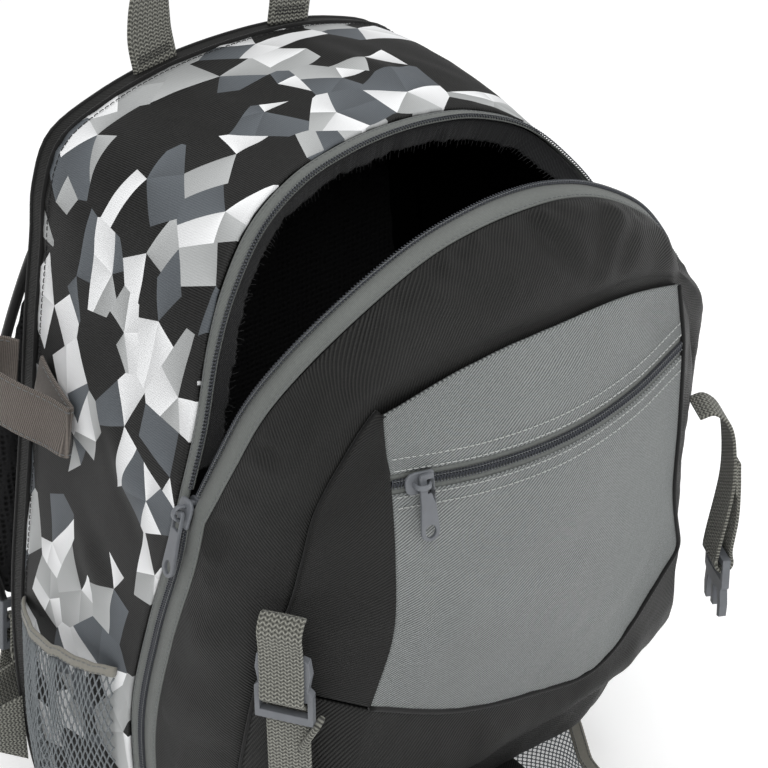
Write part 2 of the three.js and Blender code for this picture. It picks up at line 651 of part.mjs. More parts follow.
// Solids
function solidOf(geometry) {
  const bare = geometry.clone();
  bare.deleteAttribute('normal');
  bare.deleteAttribute('uv');
  const merged = mergeVertices(bare, 1e-4);
  return new wasm.Manifold(new wasm.Mesh({
    numProp: 3, vertProperties: merged.attributes.position.array, triVerts: new Uint32Array(merged.index.array),
  }));
}

function geometryOf(solid) {
  const mesh = solid.getMesh();
  const geometry = new THREE.BufferGeometry();
  geometry.setAttribute('position', new THREE.BufferAttribute(mesh.vertProperties, 3));
  geometry.setIndex(new THREE.BufferAttribute(mesh.triVerts, 1));
  geometry.computeVertexNormals();
  return geometry;
}

const joined = geometries => geometryOf(geometries.map(solidOf).reduce((a, b) => a.add(b)));
const cut = (geometry, tools) => geometryOf(tools.map(solidOf).reduce((a, b) => a.subtract(b), solidOf(geometry)));

// The axes of a frame: x along width, z along normal and y up the chain
function basisOf(frame) {
  const up = new THREE.Vector3().crossVectors(frame.normal, frame.width);
  return new THREE.Matrix4().makeBasis(frame.width, up, frame.normal);
}

function standIn(mesh, frame, origin) {
  mesh.quaternion.setFromRotationMatrix(basisOf(frame));
  mesh.position.copy(origin);
}

function addFastenerHead(name, frame) {
  const slider = addMesh(`${name}_slider`, 'greyPlastic', sliderGeometry());
  standIn(slider, frame, frame.centre);
  const pull = addMesh(`${name}_pull`, 'greyPlastic', pullGeometry());
  standIn(pull, frame, frame.centre.clone().addScaledVector(frame.normal, axisRise));
}

function addMainHeads() {
  for (const [side, name] of [[-1, 'left'], [1, 'right']]) {
    const row = side < 0 ? sliderRow : lastRow - sliderRow;
    const { centre, normal } = tapeFrame(row, false);
    const down = rearZip(row + 0.2 * side).sub(centre).normalize();
    normal.addScaledVector(down, -normal.dot(down)).normalize();
    const width = new THREE.Vector3().crossVectors(normal, down);
    addFastenerHead(`${name}_zip`, { centre, width, normal });
  }
}
addMainHeads();

// The front pocket
const facePoints = faceRows.map(row => row.rise.map((rise, k) => {
  const across = k / 2 - 1;
  const side = Math.abs(across) ** 1.8;
  return place(across * row.halfX, row.midReach + (row.sideReach - row.midReach) * side, rise);
}));
const faceColumns = facePoints[0].map((point, k) => smoothCurve(facePoints.map(row => row[k])));

// A point of the face, down its rows and across from -1 to 1
function facePoint(row, across) {
  const down = THREE.MathUtils.clamp(row / (faceRows.length - 1), 0, 1);
  return smoothCurve(faceColumns.map(column => column.getPoint(down))).getPoint((across + 1) / 2);
}

// The row at a length from another row, up or down one column of the face
function faceRowAt(from, to, across, length) {
  const start = facePoint(from, across);
  let near = from;
  let far = to;
  for (let i = 0; i < 18; i += 1) {
    const half = (near + far) / 2;
    if (facePoint(half, across).distanceTo(start) < length) near = half;
    else far = half;
  }
  return far;
}

// A frame on the pocket's fastener, with its width up the face
function faceFrame(across) {
  const centre = facePoint(zipRow, across);
  const width = facePoint(zipRow - 0.1, across).sub(facePoint(zipRow + 0.1, across)).normalize();
  const along = facePoint(zipRow, Math.min(across + 0.05, 1)).sub(facePoint(zipRow, Math.max(across - 0.05, -1)));
  return { centre, width, normal: along.cross(width).normalize() };
}

const pocketSliderAcross = -0.86;
const faceTopArchRow = 10; // the arch row where the pocket's sides start
const seatOff = gap + pocketWall;

// The pocket's seam on the front panel, just in front of it
function pocketFoot(row, across = 0.5) {
  return frontPoint(row, across).addScaledVector(frontNormal(row, across), seatOff);
}

const bandLips = smoothCurve(bandRows.map(r => place(r.x, r.lipReach, r.lipRise)));
const bandSetback = gap + pocketWall / 2;
const bandSideShare = 1 / 7;

// Three points down the band (seam, lip and foot) at a place across from -1 to 1
function bandColumn(across) {
  const last = bandRows.length - 1;
  const place = (across + 1) / 2 * last;
  const before = Math.min(Math.floor(place), last - 1);
  const foot = THREE.MathUtils.lerp(bandRows[before].foot, bandRows[before + 1].foot, place - before);
  const archRow = across < 0 ? bandFootRow : lastRow - bandFootRow;
  return [facePoint(faceRows.length - 1, across), bandLips.getPoint((across + 1) / 2), pocketFoot(archRow, foot)];
}

// The band runs from the left side of the pocket round its front to the right side
function bandPoint(down, across) {
  const atSide = across < bandSideShare || across > 1 - bandSideShare;
  const side = across < 0.5 ? -1 : 1;
  const front = (across - bandSideShare) / (1 - 2 * bandSideShare) * 2 - 1;
  let column = bandColumn(THREE.MathUtils.clamp(front, -1, 1));
  if (atSide) {
    const inwards = Math.min(across, 1 - across) / bandSideShare;
    const rows = [bandTopRow, bandRimRow, bandFootRow];
    column = column.map((point, k) => pocketFoot(side < 0 ? rows[k] : lastRow - rows[k]).lerp(point, inwards));
  }
  const setback = bandSetback / column[0].distanceTo(column[2]);
  return smoothCurve(column).getPoint(setback + (1 - setback) * down);
}

function addPocket() {
  const inside = place(0, 0.5, 0.6);
  const inset = (pocketWall + gap) / atX(faceRows[zipRow].halfX);
  const acrossOf = b => -1 + inset + b * 2 * (1 - inset);
  const lastFace = faceRows.length - 1;
  const half = pocketZipWidth / 2;
  addMesh('pocket_face_upper', 'greyTwill', sheetBody({
    alongCount: 3, acrossCount: 10, wall: pocketWall, inside,
    pointAt: (a, b) => {
      const end = faceRowAt(zipRow, 0, acrossOf(b), half + gap);
      return facePoint(a * end, acrossOf(b));
    },
  }));
  addMesh('pocket_face_lower', 'greyTwill', sheetBody({
    alongCount: 8, acrossCount: 10, wall: pocketWall, inside,
    pointAt: (a, b) => {
      const start = faceRowAt(zipRow, lastFace, acrossOf(b), half + gap);
      return facePoint(start + a * (lastFace - start), acrossOf(b));
    },
  }));

  const steps = 14;
  const frames = Array.from({ length: steps + 1 }, (_, i) => faceFrame(acrossOf(i / steps)));
  const chain = chainWidth / 2;
  const tape = -pocketWall / 2;
  const zip = sweptBody(frames, [
    [-half, -pocketWall], [half, -pocketWall], [half, tape], [chain, tape],
    [chain, 0], [-chain, 0], [-chain, tape], [-half, tape],
  ]);
  const slot = new THREE.BoxGeometry(coreWidth + 2 * gap, sliderLength + 2 * gap, 6 * pocketWall);
  const head = faceFrame(pocketSliderAcross);
  slot.applyMatrix4(basisOf(head).setPosition(head.centre));
  addMesh('pocket_zip', 'coil', cut(zip, [slot]));

  for (const [side, name] of [[-1, 'left'], [1, 'right']]) {
    const archRow = row => (side < 0 ? row : lastRow - row);
    addMesh(`pocket_side_${name}`, 'blackTwill', sheetBody({
      alongCount: 10, acrossCount: 3, wall: pocketWall, inside,
      pointAt: (a, b) => {
        const row = faceTopArchRow + a * (bandTopRow + gap / rowLength - faceTopArchRow);
        return pocketFoot(archRow(row)).lerp(facePoint(faceTopArchRow - row, side), b);
      },
    }));
  }

  addMesh('pocket_band', 'blackTwill', sheetBody({
    alongCount: 6, acrossCount: 14, wall: pocketWall, inside,
    pointAt: (a, b) => bandPoint(a, b),
  }));
}
addPocket();

// The pocket's pull hangs down the face on one leg of the slider's arch, and swings
// about that leg, so its own origin is there
function addPocketHead() {
  const frame = faceFrame(pocketSliderAcross);
  const slider = addMesh('pocket_zip_slider', 'greyPlastic', sliderGeometry());
  standIn(slider, frame, frame.centre);
  const along = new THREE.Vector3().crossVectors(frame.width, frame.normal);
  const leg = frame.centre.clone().addScaledVector(frame.normal, axisRise)
    .addScaledVector(along, archInner + archBar / 2);
  const drop = barRadius + archWidth / 2 + 2 * gap;
  const geometry = pullGeometry(sideEyeOffset, sideEyeWidth).translate(-sideEyeOffset, drop, 0);
  const pull = addMesh('pocket_zip_pull', 'greyPlastic', geometry);
  standIn(pull, { width: along, normal: frame.normal }, leg);
}
addPocketHead();

// A strip with a torn edge that hangs inside the rear rim of the mouth
function addFacing() {
  const inset = 0.2;
  const top = -tapeThickness - 2 * gap;
  const lean = 2;
  const near = gap + lean;
  const frames = rowsBetween(openStart + inset, lastRow - openStart - inset).map(row => tapeFrame(row, false));
  addMesh('rear_facing', 'facing', sweptBody(frames, [
    [near, top], [near + lean, top - facingDrop],
    [near + lean + facingThickness, top - facingDrop], [near + facingThickness, top],
  ]));
}
addFacing();

const sides = [[-1, 'left'], [1, 'right']];
const archRowOn = (side, row) => (side < 0 ? row : lastRow - row);

// Two loops for a bat, one on each side
function addBatLoops() {
  for (const [side, name] of sides) {
    const upAt = row => {
      const outward = outwardAt(row);
      return new THREE.Vector3(-outward.z * side, 0, Math.abs(outward.x));
    };
    const points = batLoopRows.map(r => {
      const row = archRowOn(side, r.row);
      return printedPoint(row, r.across).addScaledVector(outwardAt(row), r.standOff);
    });
    const up = upAt(archRowOn(side, batLoopRows[0].row));
    const frames = routeFrames(points, 2 * (points.length - 1), up);
    addMesh(`bat_loop_${name}`, 'taupeBand', sweptBody(frames, boxSection(loopWidth, webThickness)));
  }
}
addBatLoops();

// Straight reading between the rows of a table
function readTable(rows, from, to, at) {
  const next = rows.findIndex(row => row[from] >= at);
  if (next === 0) return rows[0][to];
  if (next < 0) return rows[rows.length - 1][to];
  const before = rows[next - 1];
  const share = (at - before[from]) / (rows[next][from] - before[from]);
  return THREE.MathUtils.lerp(before[to], rows[next][to], share);
}

// Lines of a coarse net: a strand, then a hole, and so on, ending with a strand
const netLines = holes => 2 * holes + 1;
const netShare = (line, holes) => (Math.floor(line / 2) + (line % 2) * netStrand) / (holes + netStrand);
const isNetHole = (i, j) => i % 2 === 1 && j % 2 === 1;

// The printed side's net pocket: down from its top edge (0) to the floor (1)
const netSeat = netWall + 3 * gap;
const netTopAt = across => netTop + netSlant * (across - 0.5);
function netPoint(side, row, across, lift = 0) {
  const archRow = archRowOn(side, row);
  const bow = depth * readTable(netRows, 'row', 'standOff', row) * Math.sin(Math.PI * across) ** 0.8;
  return printedPoint(archRow, THREE.MathUtils.lerp(netBack, netFront, across))
    .addScaledVector(outwardAt(archRow), netSeat + bow + lift);
}

function addSideNets() {
  const rowHeight = backSeam(5).distanceTo(backSeam(4));
  const alongCount = netLines(netHolesUp);
  const acrossCount = netLines(netHolesAcross);
  for (const [side, name] of sides) {
    addMesh(`side_net_${name}`, 'net', sheetBody({
      alongCount, acrossCount, wall: netWall, inside: bagInside, isHole: isNetHole,
      pointAt: (a, b) => {
        const across = netShare(Math.round(b * acrossCount), netHolesAcross);
        const down = netShare(Math.round(a * alongCount), netHolesUp);
        return netPoint(side, THREE.MathUtils.lerp(netTopAt(across), netBottom, down), across);
      },
    }));
    addMesh(`side_binding_${name}`, 'binding', sheetBody({
      alongCount: 2, acrossCount: 12, wall: bindingThickness, inside: bagInside,
      pointAt: (a, b) => netPoint(side, netTopAt(b) + (gap + a * bindingHeight) / rowHeight, b, gap),
    }));
  }
}
addSideNets();

// Grab handle: a band that turns from facing back at its feet to lying flat on top
function addHandle() {
  const foot = backSeam(topRow + handleHalfSpan / atX(archRows[topRow - 1].seamX)).z + gap / 2;
  const middle = backReach + backPadThickness / 2;
  const half = [
    [1, 0], [1.06, 0.30], [0.98, 0.66], [0.66, 0.92], [0.25, 1],
  ].map(([out, up]) => [out * handleHalfSpan, foot + up * handleRise]);
  const points = [...half.map(([x, z]) => [-x, z]), ...half.reverse()]
    .map(([x, z]) => new THREE.Vector3(x, middle, z));
  const curve = smoothCurve(points);
  const steps = 20;
  const frames = [];
  for (let i = 0; i <= steps; i += 1) {
    const t = i / steps;
    const turn = Math.PI * THREE.MathUtils.smoothstep(t, 0.05, 0.95);
    const tangent = curve.getTangent(t);
    const width = new THREE.Vector3(Math.cos(turn), Math.sin(turn), 0);
    width.addScaledVector(tangent, -width.dot(tangent)).normalize();
    frames.push({ centre: curve.getPoint(t), width, normal: new THREE.Vector3().crossVectors(tangent, width) });
  }
  addMesh('grab_handle', 'webbing', sweptBody(frames, boxSection(handleWidth, webThickness)));
}
addHandle();

// Side-release plug with its slot's middle at the origin and its prongs along +y
function plugGeometry() {
  const wide = frontWebWidth / 2 + 3;
  const block = plugSlot / 2 + plugBar;
  const tip = block + plugProng;
  const right = [
    [wide, -block], [wide, block], [wide - 2, block + 2], [wide - 0.6, block + plugProng * 0.55],
    [wide - 1.6, tip - 1], [wide - 4.6, tip], [wide - 5, block + plugProng * 0.5], [wide - 6, block + 4],
    [1.8, block + 4], [1.8, tip - 2],
  ];
  const outline = [...right, ...right.map(([x, y]) => [-x, y]).reverse()].map(([x, y]) => new THREE.Vector2(x, y));
  const shape = new THREE.Shape(outline);
  shape.holes.push(slotPath(frontWebWidth / 2 + 2 * gap, 0, plugSlot));
  const plug = new THREE.ExtrudeGeometry(shape, { depth: plugThickness, bevelEnabled: false });
  return plug.translate(0, 0, -plugThickness / 2);
}

// A slot across a buckle, wound against its outline
function slotPath(halfWide, middle, high) {
  return new THREE.Path([[-halfWide, -high / 2], [-halfWide, high / 2], [halfWide, high / 2], [halfWide, -high / 2]]
    .map(([x, y]) => new THREE.Vector2(x, middle + y)));
}

const frameAt = (centre, normal, up) => {
  const width = new THREE.Vector3().crossVectors(up, normal).normalize();
  return { centre, width, normal, up: new THREE.Vector3().crossVectors(normal, width) };
};
const inFrame = (frame, [y, z]) => frame.centre.clone()
  .addScaledVector(frame.up, y).addScaledVector(frame.normal, z);

// The two compression straps hang from the pocket's seams and carry a plug each.
// The left one runs over its plug's prongs, through the slot and on down.
const strapAnchorRow = 6;
const strapLean = new THREE.Vector3(0.86, -0.5, 0).normalize();
function strapAnchor(side) {
  return pocketFoot(archRowOn(side, strapAnchorRow));
}

function addFrontStraps() {
  const off = plugThickness / 2 + gap + webThickness / 2;
  const section = boxSection(frontWebWidth, webThickness);
  for (const [side, name] of sides) {
    const normal = strapLean.clone().setX(side * strapLean.x);
    const anchor = frameAt(strapAnchor(side), normal, new THREE.Vector3(0, 0, 1));
    const upper = side < 0
      ? [[0, 3.2], [2.4, 8], [-3, 12.4], [-13, 11.5]]
      : [[0, 2.6], [1.4, 10], [-6, 17.5], [-20, 21], [-44, 22]];
    const slotAt = side < 0 ? [-42, 8] : [-90, 21];
    const lean = side < 0 ? new THREE.Vector3(0, 0, 1) : new THREE.Vector3(-0.16, 0.02, -1).normalize();
    const plug = frameAt(inFrame(anchor, slotAt), normal, lean);
    const edge = plugSlot / 2;
    const clear = off + 2 * gap;
    const through = side < 0
      ? [[14, off], [edge + 1, clear], [edge * 0.55, off * 0.83], [0, 0], [-edge * 0.55, -off * 0.83],
        [-edge - 1, -clear], [-14, -off], [-60, -off - 1], [-104, -off + 1]]
      : [[-12, -off], [-edge, -clear], [-edge * 0.22, -off * 0.62], [0, 0], [-edge * 0.22, off * 0.62],
        [-edge, clear], [-12, off]];
    const tail = side < 0 ? [] : [[-60, 25.5], [-44, 25.2], [-28, 24]];
    const route = [
      ...upper.map(at => inFrame(anchor, at)), ...through.map(at => inFrame(plug, at)),
      ...tail.map(at => inFrame(anchor, at)),
    ];
    const frames = routeFrames(route, 2 * (route.length - 1), anchor.width);
    addMesh(`strap_${name}`, 'webbing', sweptBody(frames, section));
    standIn(addMesh(`plug_${name}`, 'greyPlastic', plugGeometry()), plug, plug.centre);
  }
}
addFrontStraps();

// Shoulder straps with their ladder locks, the webbing through them and the tabs
// that hold the webbing at the back seam
function lockGeometry() {
  const wide = shoulderWebWidth / 2 + 2 * gap + 3;
  const high = 1.5 * lockBar + lockSlot;
  const shape = new THREE.Shape([[-wide, -high], [wide, -high], [wide, high], [-wide, high]]
    .map(([x, y]) => new THREE.Vector2(x, y)));
  for (const end of [-1, 1]) {
    shape.holes.push(slotPath(wide - 3, end * (lockBar + lockSlot) / 2, lockSlot));
  }
  const lock = new THREE.ExtrudeGeometry(shape, { depth: lockThickness, bevelEnabled: false });
  return lock.translate(0, 0, -lockThickness / 2);
}

function addShoulderStraps() {
  const soft = shoulderThickness / 2;
  const edge = shoulderWidth / 2;
  const section = [
    [-edge, -soft * 0.3], [-edge + soft, -soft], [edge - soft, -soft], [edge, -soft * 0.3],
    [edge, soft * 0.3], [edge - soft, soft], [-edge + soft, soft], [-edge, soft * 0.3],
  ];
  const padBack = backReach + backPadThickness;
  for (const [side, name] of sides) {
    const points = shoulderRows.map(r => new THREE.Vector3(-side * atX(r.x), padBack + r.standOff, atZ(r.rise)));
    const steps = 2 * (points.length - 1);
    const turned = new THREE.Vector3(1, 0, side * 0.25);
    const frames = routeFrames(points, steps, new THREE.Vector3(1, 0, 0), turned);
    frames.forEach((frame, i) => {
      const before = shoulderRows[Math.floor(i / 2)].wide;
      const after = shoulderRows[Math.ceil(i / 2)].wide;
      frame.wide = (before + after) / 2;
    });
    addMesh(`shoulder_strap_${name}`, 'blackMesh', sweptBody(frames, section));

    const end = frames[steps];
    const high = 1.5 * lockBar + lockSlot;
    const normal = end.normal.clone().multiplyScalar(Math.sign(end.normal.y));
    const lock = frameAt(end.centre.clone().addScaledVector(end.tangent, high + 2 * gap),
      normal, end.tangent.clone().negate());
    standIn(addMesh(`adjuster_${name}`, 'greyPlastic', lockGeometry()), lock, lock.centre);

    const tabRow = archRowOn(side, 2.6);
    const root = backSeam(tabRow).addScaledVector(outwardAt(tabRow), 6 * gap)
      .add(new THREE.Vector3(0, backPadThickness / 2, 0));
    const outwards = new THREE.Vector3(side * 0.86, 0.5, 0).normalize();
    const apex = root.clone().addScaledVector(outwards, tabLength);
    const facing = new THREE.Vector3().crossVectors(outwards, new THREE.Vector3(0, 0, 1));
    const tabFrames = [[root, tabRoot], [apex, shoulderWebWidth]].map(([centre, wide]) => ({
      centre, width: new THREE.Vector3(0, 0, 1), normal: facing, wide: wide / tabRoot,
    }));
    addMesh(`anchor_tab_${name}`, 'webbing', sweptBody(tabFrames, boxSection(tabRoot, webThickness)));

    const off = lockThickness / 2 + gap + webThickness / 2;
    const turn = lockBar / 2;
    const route = [...[10, 15, 21].map(out => apex.clone().addScaledVector(outwards, out * gap)),
      apex.clone().addScaledVector(outwards, 8).add(new THREE.Vector3(-side * 3, 10, 6)), ...[
        [-26, -off], [-12, -off], [turn + 0.4, -off], [turn + 2.2, -off * 0.6], [turn + 2.9, 0],
        [turn + 2.2, off * 0.6], [turn + 0.4, off], [-12, off], [-34, off + 5], [-58, off + 3],
      ].map(at => inFrame(lock, at))];
    const sideways = lock.width.clone().multiplyScalar(-side);
    const webFrames = routeFrames(route, 2 * (route.length - 1), new THREE.Vector3(0, 0, 1), sideways, 0.28);
    addMesh(`shoulder_webbing_${name}`, 'webbing', sweptBody(webFrames, boxSection(shoulderWebWidth, webThickness)));
  }
}
addShoulderStraps();

// Gear flap, lying flat on the floor in front of the base
const flapTop = frontPoint(0, 0.5).y - gap;
const flapY = down => flapTop - down * flapLength;
const flapEdgeAt = down => atX(readTable(flapRows, 'down', 'edge', down));

function flapPlate(points) {
  const shape = new THREE.Shape(points.map(([x, y]) => new THREE.Vector2(x, y)));
  return new THREE.ExtrudeGeometry(shape, { depth: flapThickness, bevelEnabled: false });
}

function addFlap() {
  const farHalf = flapHalfWidth * 0.82;
  const first = flapRows[0].down;
  const last = flapRows[flapRows.length - 1].down;
  const centreEnd = last - (flapTapeWidth / 2 + gap) / flapLength;
  addMesh('flap_centre', 'blackTwill', flapPlate([
    [-flapHalfWidth, flapY(first)], [-farHalf, flapY(centreEnd)],
    [farHalf, flapY(centreEnd)], [flapHalfWidth, flapY(first)],
  ]));

  const edge = flapRows.map(r => [atX(r.edge) - flapTapeWidth / 2, flapY(r.down)]);
  const outline = [...edge, ...edge.map(([x, y]) => [-x, y]).reverse()]
    .map(([x, y]) => new THREE.Vector3(x, y, flapThickness / 2));
  const frames = outline.map((centre, i) => {
    const ahead = outline[Math.min(i + 1, outline.length - 1)].clone();
    const along = ahead.sub(outline[Math.max(i - 1, 0)]).normalize();
    return { centre, width: new THREE.Vector3(-along.y, along.x, 0), normal: new THREE.Vector3(0, 0, 1) };
  });
  addMesh('flap_edge_tape', 'binding', sweptBody(frames, boxSection(flapTapeWidth, flapThickness)));

  const holesDown = 4;
  const holesOut = 2;
  const alongCount = netLines(holesDown);
  const acrossCount = netLines(holesOut);
  const tapeRoom = flapTapeWidth * 1.35 + gap;
  for (const [side, name] of sides) {
    addMesh(`flap_net_${name}`, 'net', sheetBody({
      alongCount, acrossCount, wall: netWall, inside: new THREE.Vector3(0, flapY(0.5), -height), isHole: isNetHole,
      pointAt: (a, b) => {
        const share = netShare(Math.round(a * alongCount), holesDown);
        const down = THREE.MathUtils.lerp(first, 0.93, share);
        const inner = THREE.MathUtils.lerp(flapHalfWidth, farHalf, (down - first) / (centreEnd - first)) + gap;
        const outer = Math.max(flapEdgeAt(down) - tapeRoom, inner + 2);
        const out = netShare(Math.round(b * acrossCount), holesOut);
        return new THREE.Vector3(side * THREE.MathUtils.lerp(inner, outer, out), flapY(down), netWall);
      },
    }));
    const middle = side * atX(0.43);
    const tabTop = flapY(last) - flapTapeWidth / 2 - gap;
    const tab = flapPlate([[-10, 0], [-10, -12], [10, -12], [10, 0]]).translate(middle, tabTop, 0);
    addMesh(`flap_tab_${name}`, 'webbing', tab);
    standIn(addMesh(`flap_socket_${name}`, 'greyPlastic', socketGeometry()),
      { width: new THREE.Vector3(1, 0, 0), normal: new THREE.Vector3(0, 0, 1) },
      new THREE.Vector3(middle, tabTop - 12 - gap, 0));
  }
}

// Socket of a side-release buckle, from its webbing end at y 0 to its mouth at -y
function socketGeometry() {
  const wide = socketWidth / 2;
  const long = socketLength;
  const shape = new THREE.Shape([
    [-wide + 2, 0], [-wide, -2], [-wide, -long * 0.3], [-wide + 3, -long * 0.42], [-wide + 3, -long * 0.72],
    [-wide, -long * 0.84], [-wide, -long], [wide, -long], [wide, -long * 0.84], [wide - 3, -long * 0.72],
    [wide - 3, -long * 0.42], [wide, -long * 0.3], [wide, -2], [wide - 2, 0],
  ].map(([x, y]) => new THREE.Vector2(x, y)));
  const bevel = 1;
  const body = new THREE.ExtrudeGeometry(shape, {
    depth: socketHeight - 2 * bevel, bevelEnabled: true, bevelSize: bevel, bevelOffset: -bevel,
    bevelThickness: bevel, bevelSegments: 1,
  });
  body.translate(0, 0, bevel);
  const hollow = new THREE.BoxGeometry(socketWidth - 6, socketLength * 0.8, socketHeight - 3);
  hollow.translate(0, -long + socketLength * 0.3, socketHeight / 2);
  return cut(body, [hollow]);
}
addFlap();

export default bag;
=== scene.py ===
import math

import bmesh
import bpy
import numpy as np
from mathutils import Matrix, Vector


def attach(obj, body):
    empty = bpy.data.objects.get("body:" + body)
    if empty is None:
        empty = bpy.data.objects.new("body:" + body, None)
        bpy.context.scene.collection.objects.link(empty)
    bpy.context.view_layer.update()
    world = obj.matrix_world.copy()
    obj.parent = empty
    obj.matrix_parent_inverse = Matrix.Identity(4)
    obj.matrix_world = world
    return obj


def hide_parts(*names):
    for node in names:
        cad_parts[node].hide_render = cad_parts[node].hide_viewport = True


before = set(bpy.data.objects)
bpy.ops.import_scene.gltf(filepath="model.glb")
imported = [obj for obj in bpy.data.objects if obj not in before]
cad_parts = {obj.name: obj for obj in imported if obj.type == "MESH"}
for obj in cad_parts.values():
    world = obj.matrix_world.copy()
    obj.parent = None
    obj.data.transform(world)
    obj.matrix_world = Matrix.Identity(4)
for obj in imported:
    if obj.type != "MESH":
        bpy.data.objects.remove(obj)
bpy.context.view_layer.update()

MM = 0.001
BODY = "bag"
SIDES = ((-1, "left"), (1, "right"))

# Driving sizes, as in the solids
HEIGHT, HALF_WIDTH, DEPTH, BACK_REACH = 400.0, 140.0, 215.0, 85.0
CLOTH_WALL, POCKET_WALL, PAD = 2.0, 1.6, 12.0
GAP, SIDE_BELLY = 0.35, 5.0
FLOOR_TOP = 2.4 + GAP
CHAIN_WIDTH, CHAIN_HEIGHT, TAPE = 5.2, 2.4, 1.1
REAR_TAPE, FRONT_TAPE, POCKET_ZIP = 6.0, 8.5, 9.0
SLIDER_LENGTH = 13.0
WEB, FRONT_WEB, SHOULDER_WEB, LOOP, HANDLE = 1.8, 20.0, 25.0, 25.0, 24.0

ARCH_ROWS = [
    (0.84, 0, 0.87, 0.405, 0), (0.90, 0.030, 0.94, 0.440, 0.030), (0.95, 0.090, 0.985, 0.470, 0.090),
    (0.98, 0.220, 1.005, 0.475, 0.220), (0.97, 0.359, 1.01, 0.485, 0.359), (0.915, 0.497, 1.00, 0.553, 0.497),
    (0.865, 0.610, 0.985, 0.625, 0.610), (0.84, 0.673, 0.96, 0.642, 0.673), (0.81, 0.748, 0.87, 0.633, 0.753),
    (0.77, 0.829, 0.785, 0.610, 0.831), (0.745, 0.889, 0.68, 0.581, 0.884),
    (0.67, 0.942, 0.535, 0.553, 0.932),
    (0.485, 0.970, 0.355, 0.530, 0.960), (0.255, 0.987, 0.18, 0.521, 0.972), (0, 0.992, 0, 0.516, 0.975),
]
SLIDER_ROW = 7
OPEN_ROWS = [
    (0.96, 0.642, 0.673, 0), (0.93, 0.712, 0.756, 0.030), (0.87, 0.758, 0.824, 0.052),
    (0.77, 0.805, 0.882, 0.058),
    (0.585, 0.833, 0.930, 0.038), (0.37, 0.837, 0.958, 0.018), (0.18, 0.837, 0.970, 0.006),
    (0, 0.837, 0.973, 0),
]
FRONT_ROWS = [
    (0.845, 0.428, 0, 0.77, 0.442, 0, 0.456, 0), (0.925, 0.521, 0.030, 0.83, 0.567, 0.030, 0.577, 0.030),
    (0.98, 0.572, 0.088, 0.88, 0.637, 0.086, 0.647, 0.085),
    (1.01, 0.605, 0.220, 0.93, 0.693, 0.218, 0.698, 0.200),
    (1.015, 0.637, 0.358, 0.935, 0.749, 0.357, 0.744, 0.310),
    (1.005, 0.698, 0.496, 0.907, 0.800, 0.494, 0.781, 0.398),
    (0.98, 0.758, 0.606, 0.85, 0.856, 0.596, 0.809, 0.468),
    (0.945, 0.786, 0.668, 0.82, 0.874, 0.653, 0.823, 0.506),
    (0.90, 0.851, 0.741, 0.78, 0.884, 0.711, 0.837, 0.541),
    (0.83, 0.893, 0.804, 0.714, 0.907, 0.766, 0.851, 0.574),
    (0.707, 0.916, 0.859, 0.607, 0.930, 0.821, 0.865, 0.606),
    (0.557, 0.930, 0.902, 0.47, 0.953, 0.842, 0.874, 0.639),
    (0.357, 0.940, 0.932, 0.314, 0.972, 0.852, 0.884, 0.669),
    (0.18, 0.944, 0.940, 0.157, 0.981, 0.857, 0.893, 0.699),
    (0, 0.944, 0.935, 0, 0.986, 0.857, 0.902, 0.729),
]
SWELL_SLUMP, SEAM_SLUMP = 0.8, 0.2
PRINTED_DENTS = [(9.6, 0.45, 1.0, 0.22, 0.018), (6.2, 0.40, 1.1, 0.25, 0.022),
                 (12.4, 0.60, 0.9, 0.25, 0.012), (18.2, 0.50, 1.2, 0.25, 0.016)]
FRONT_DENTS = [(17.9, 0.20, 0.7, 0.10, 0.030), (9.9, 0.30, 0.5, 0.09, 0.018),
               (7.9, 0.32, 0.35, 0.10, 0.014), (13.0, 0.18, 0.6, 0.07, 0.010)]
FACE_ROWS = [
    (0.607, 0.948, 1.000, (0.817, 0.846, 0.853, 0.844, 0.812)),
    (0.610, 0.960, 1.012, (0.776, 0.787, 0.790, 0.787, 0.776)),
    (0.607, 0.972, 1.035, (0.742, 0.730, 0.726, 0.730, 0.742)),
    (0.602, 0.981, 1.040, (0.648, 0.630, 0.622, 0.626, 0.645)),
    (0.607, 0.979, 1.028, (0.556, 0.520, 0.500, 0.500, 0.545)),
    (0.680, 0.965, 0.963, (0.468, 0.400, 0.360, 0.346, 0.455)),
]
ZIP_ROW = 2
BAND_ROWS = [(-0.745, 0.905, 0.325, 0.56), (-0.52, 0.930, 0.302, 0.70), (-0.26, 0.942, 0.295, 0.84),
             (0, 0.946, 0.293, 1), (0.26, 0.944, 0.294, 0.84), (0.52, 0.932, 0.298, 0.70),
             (0.745, 0.905, 0.318, 0.56)]
NET_TOP, NET_BOTTOM, NET_SLANT = 4.12, 0.3, 0.2
NET_ROWS = [(0.3, 0.010), (1.2, 0.036), (2.2, 0.052), (3.3, 0.052), (4.12, 0.044)]
NET_BACK, NET_FRONT, NET_WALL = 0.04, 0.90, 1.2
BAT_LOOP = [(7.08, -0.030, 8.0), (7.08, -0.085, 15), (7.05, -0.062, 25), (6.98, 0.04, 28),
            (6.85, 0.155, 20.5), (6.70, 0.255, 11), (6.60, 0.320, 6.6), (6.59, 0.334, 5.0),
            (6.60, 0.320, 3.3), (6.70, 0.255, 3.0), (6.85, 0.155, 2.4), (7.0, 0.05, 1.5)]
SHOULDER = [(-0.300, 5.2, 0.935, 0.90), (-0.314, 5.6, 0.889, 1), (-0.364, 16, 0.824, 1),
            (-0.443, 30, 0.728, 1), (-0.557, 38, 0.597, 1), (-0.657, 38, 0.471, 0.95),
            (-0.736, 34, 0.366, 0.80), (-0.785, 28, 0.290, 0.50)]
FLAP_ROWS = [(0, 1.043), (0.124, 0.936), (0.242, 0.829), (0.403, 0.771), (0.618, 0.743), (0.833, 0.714),
             (0.941, 0.657), (0.990, 0.571)]
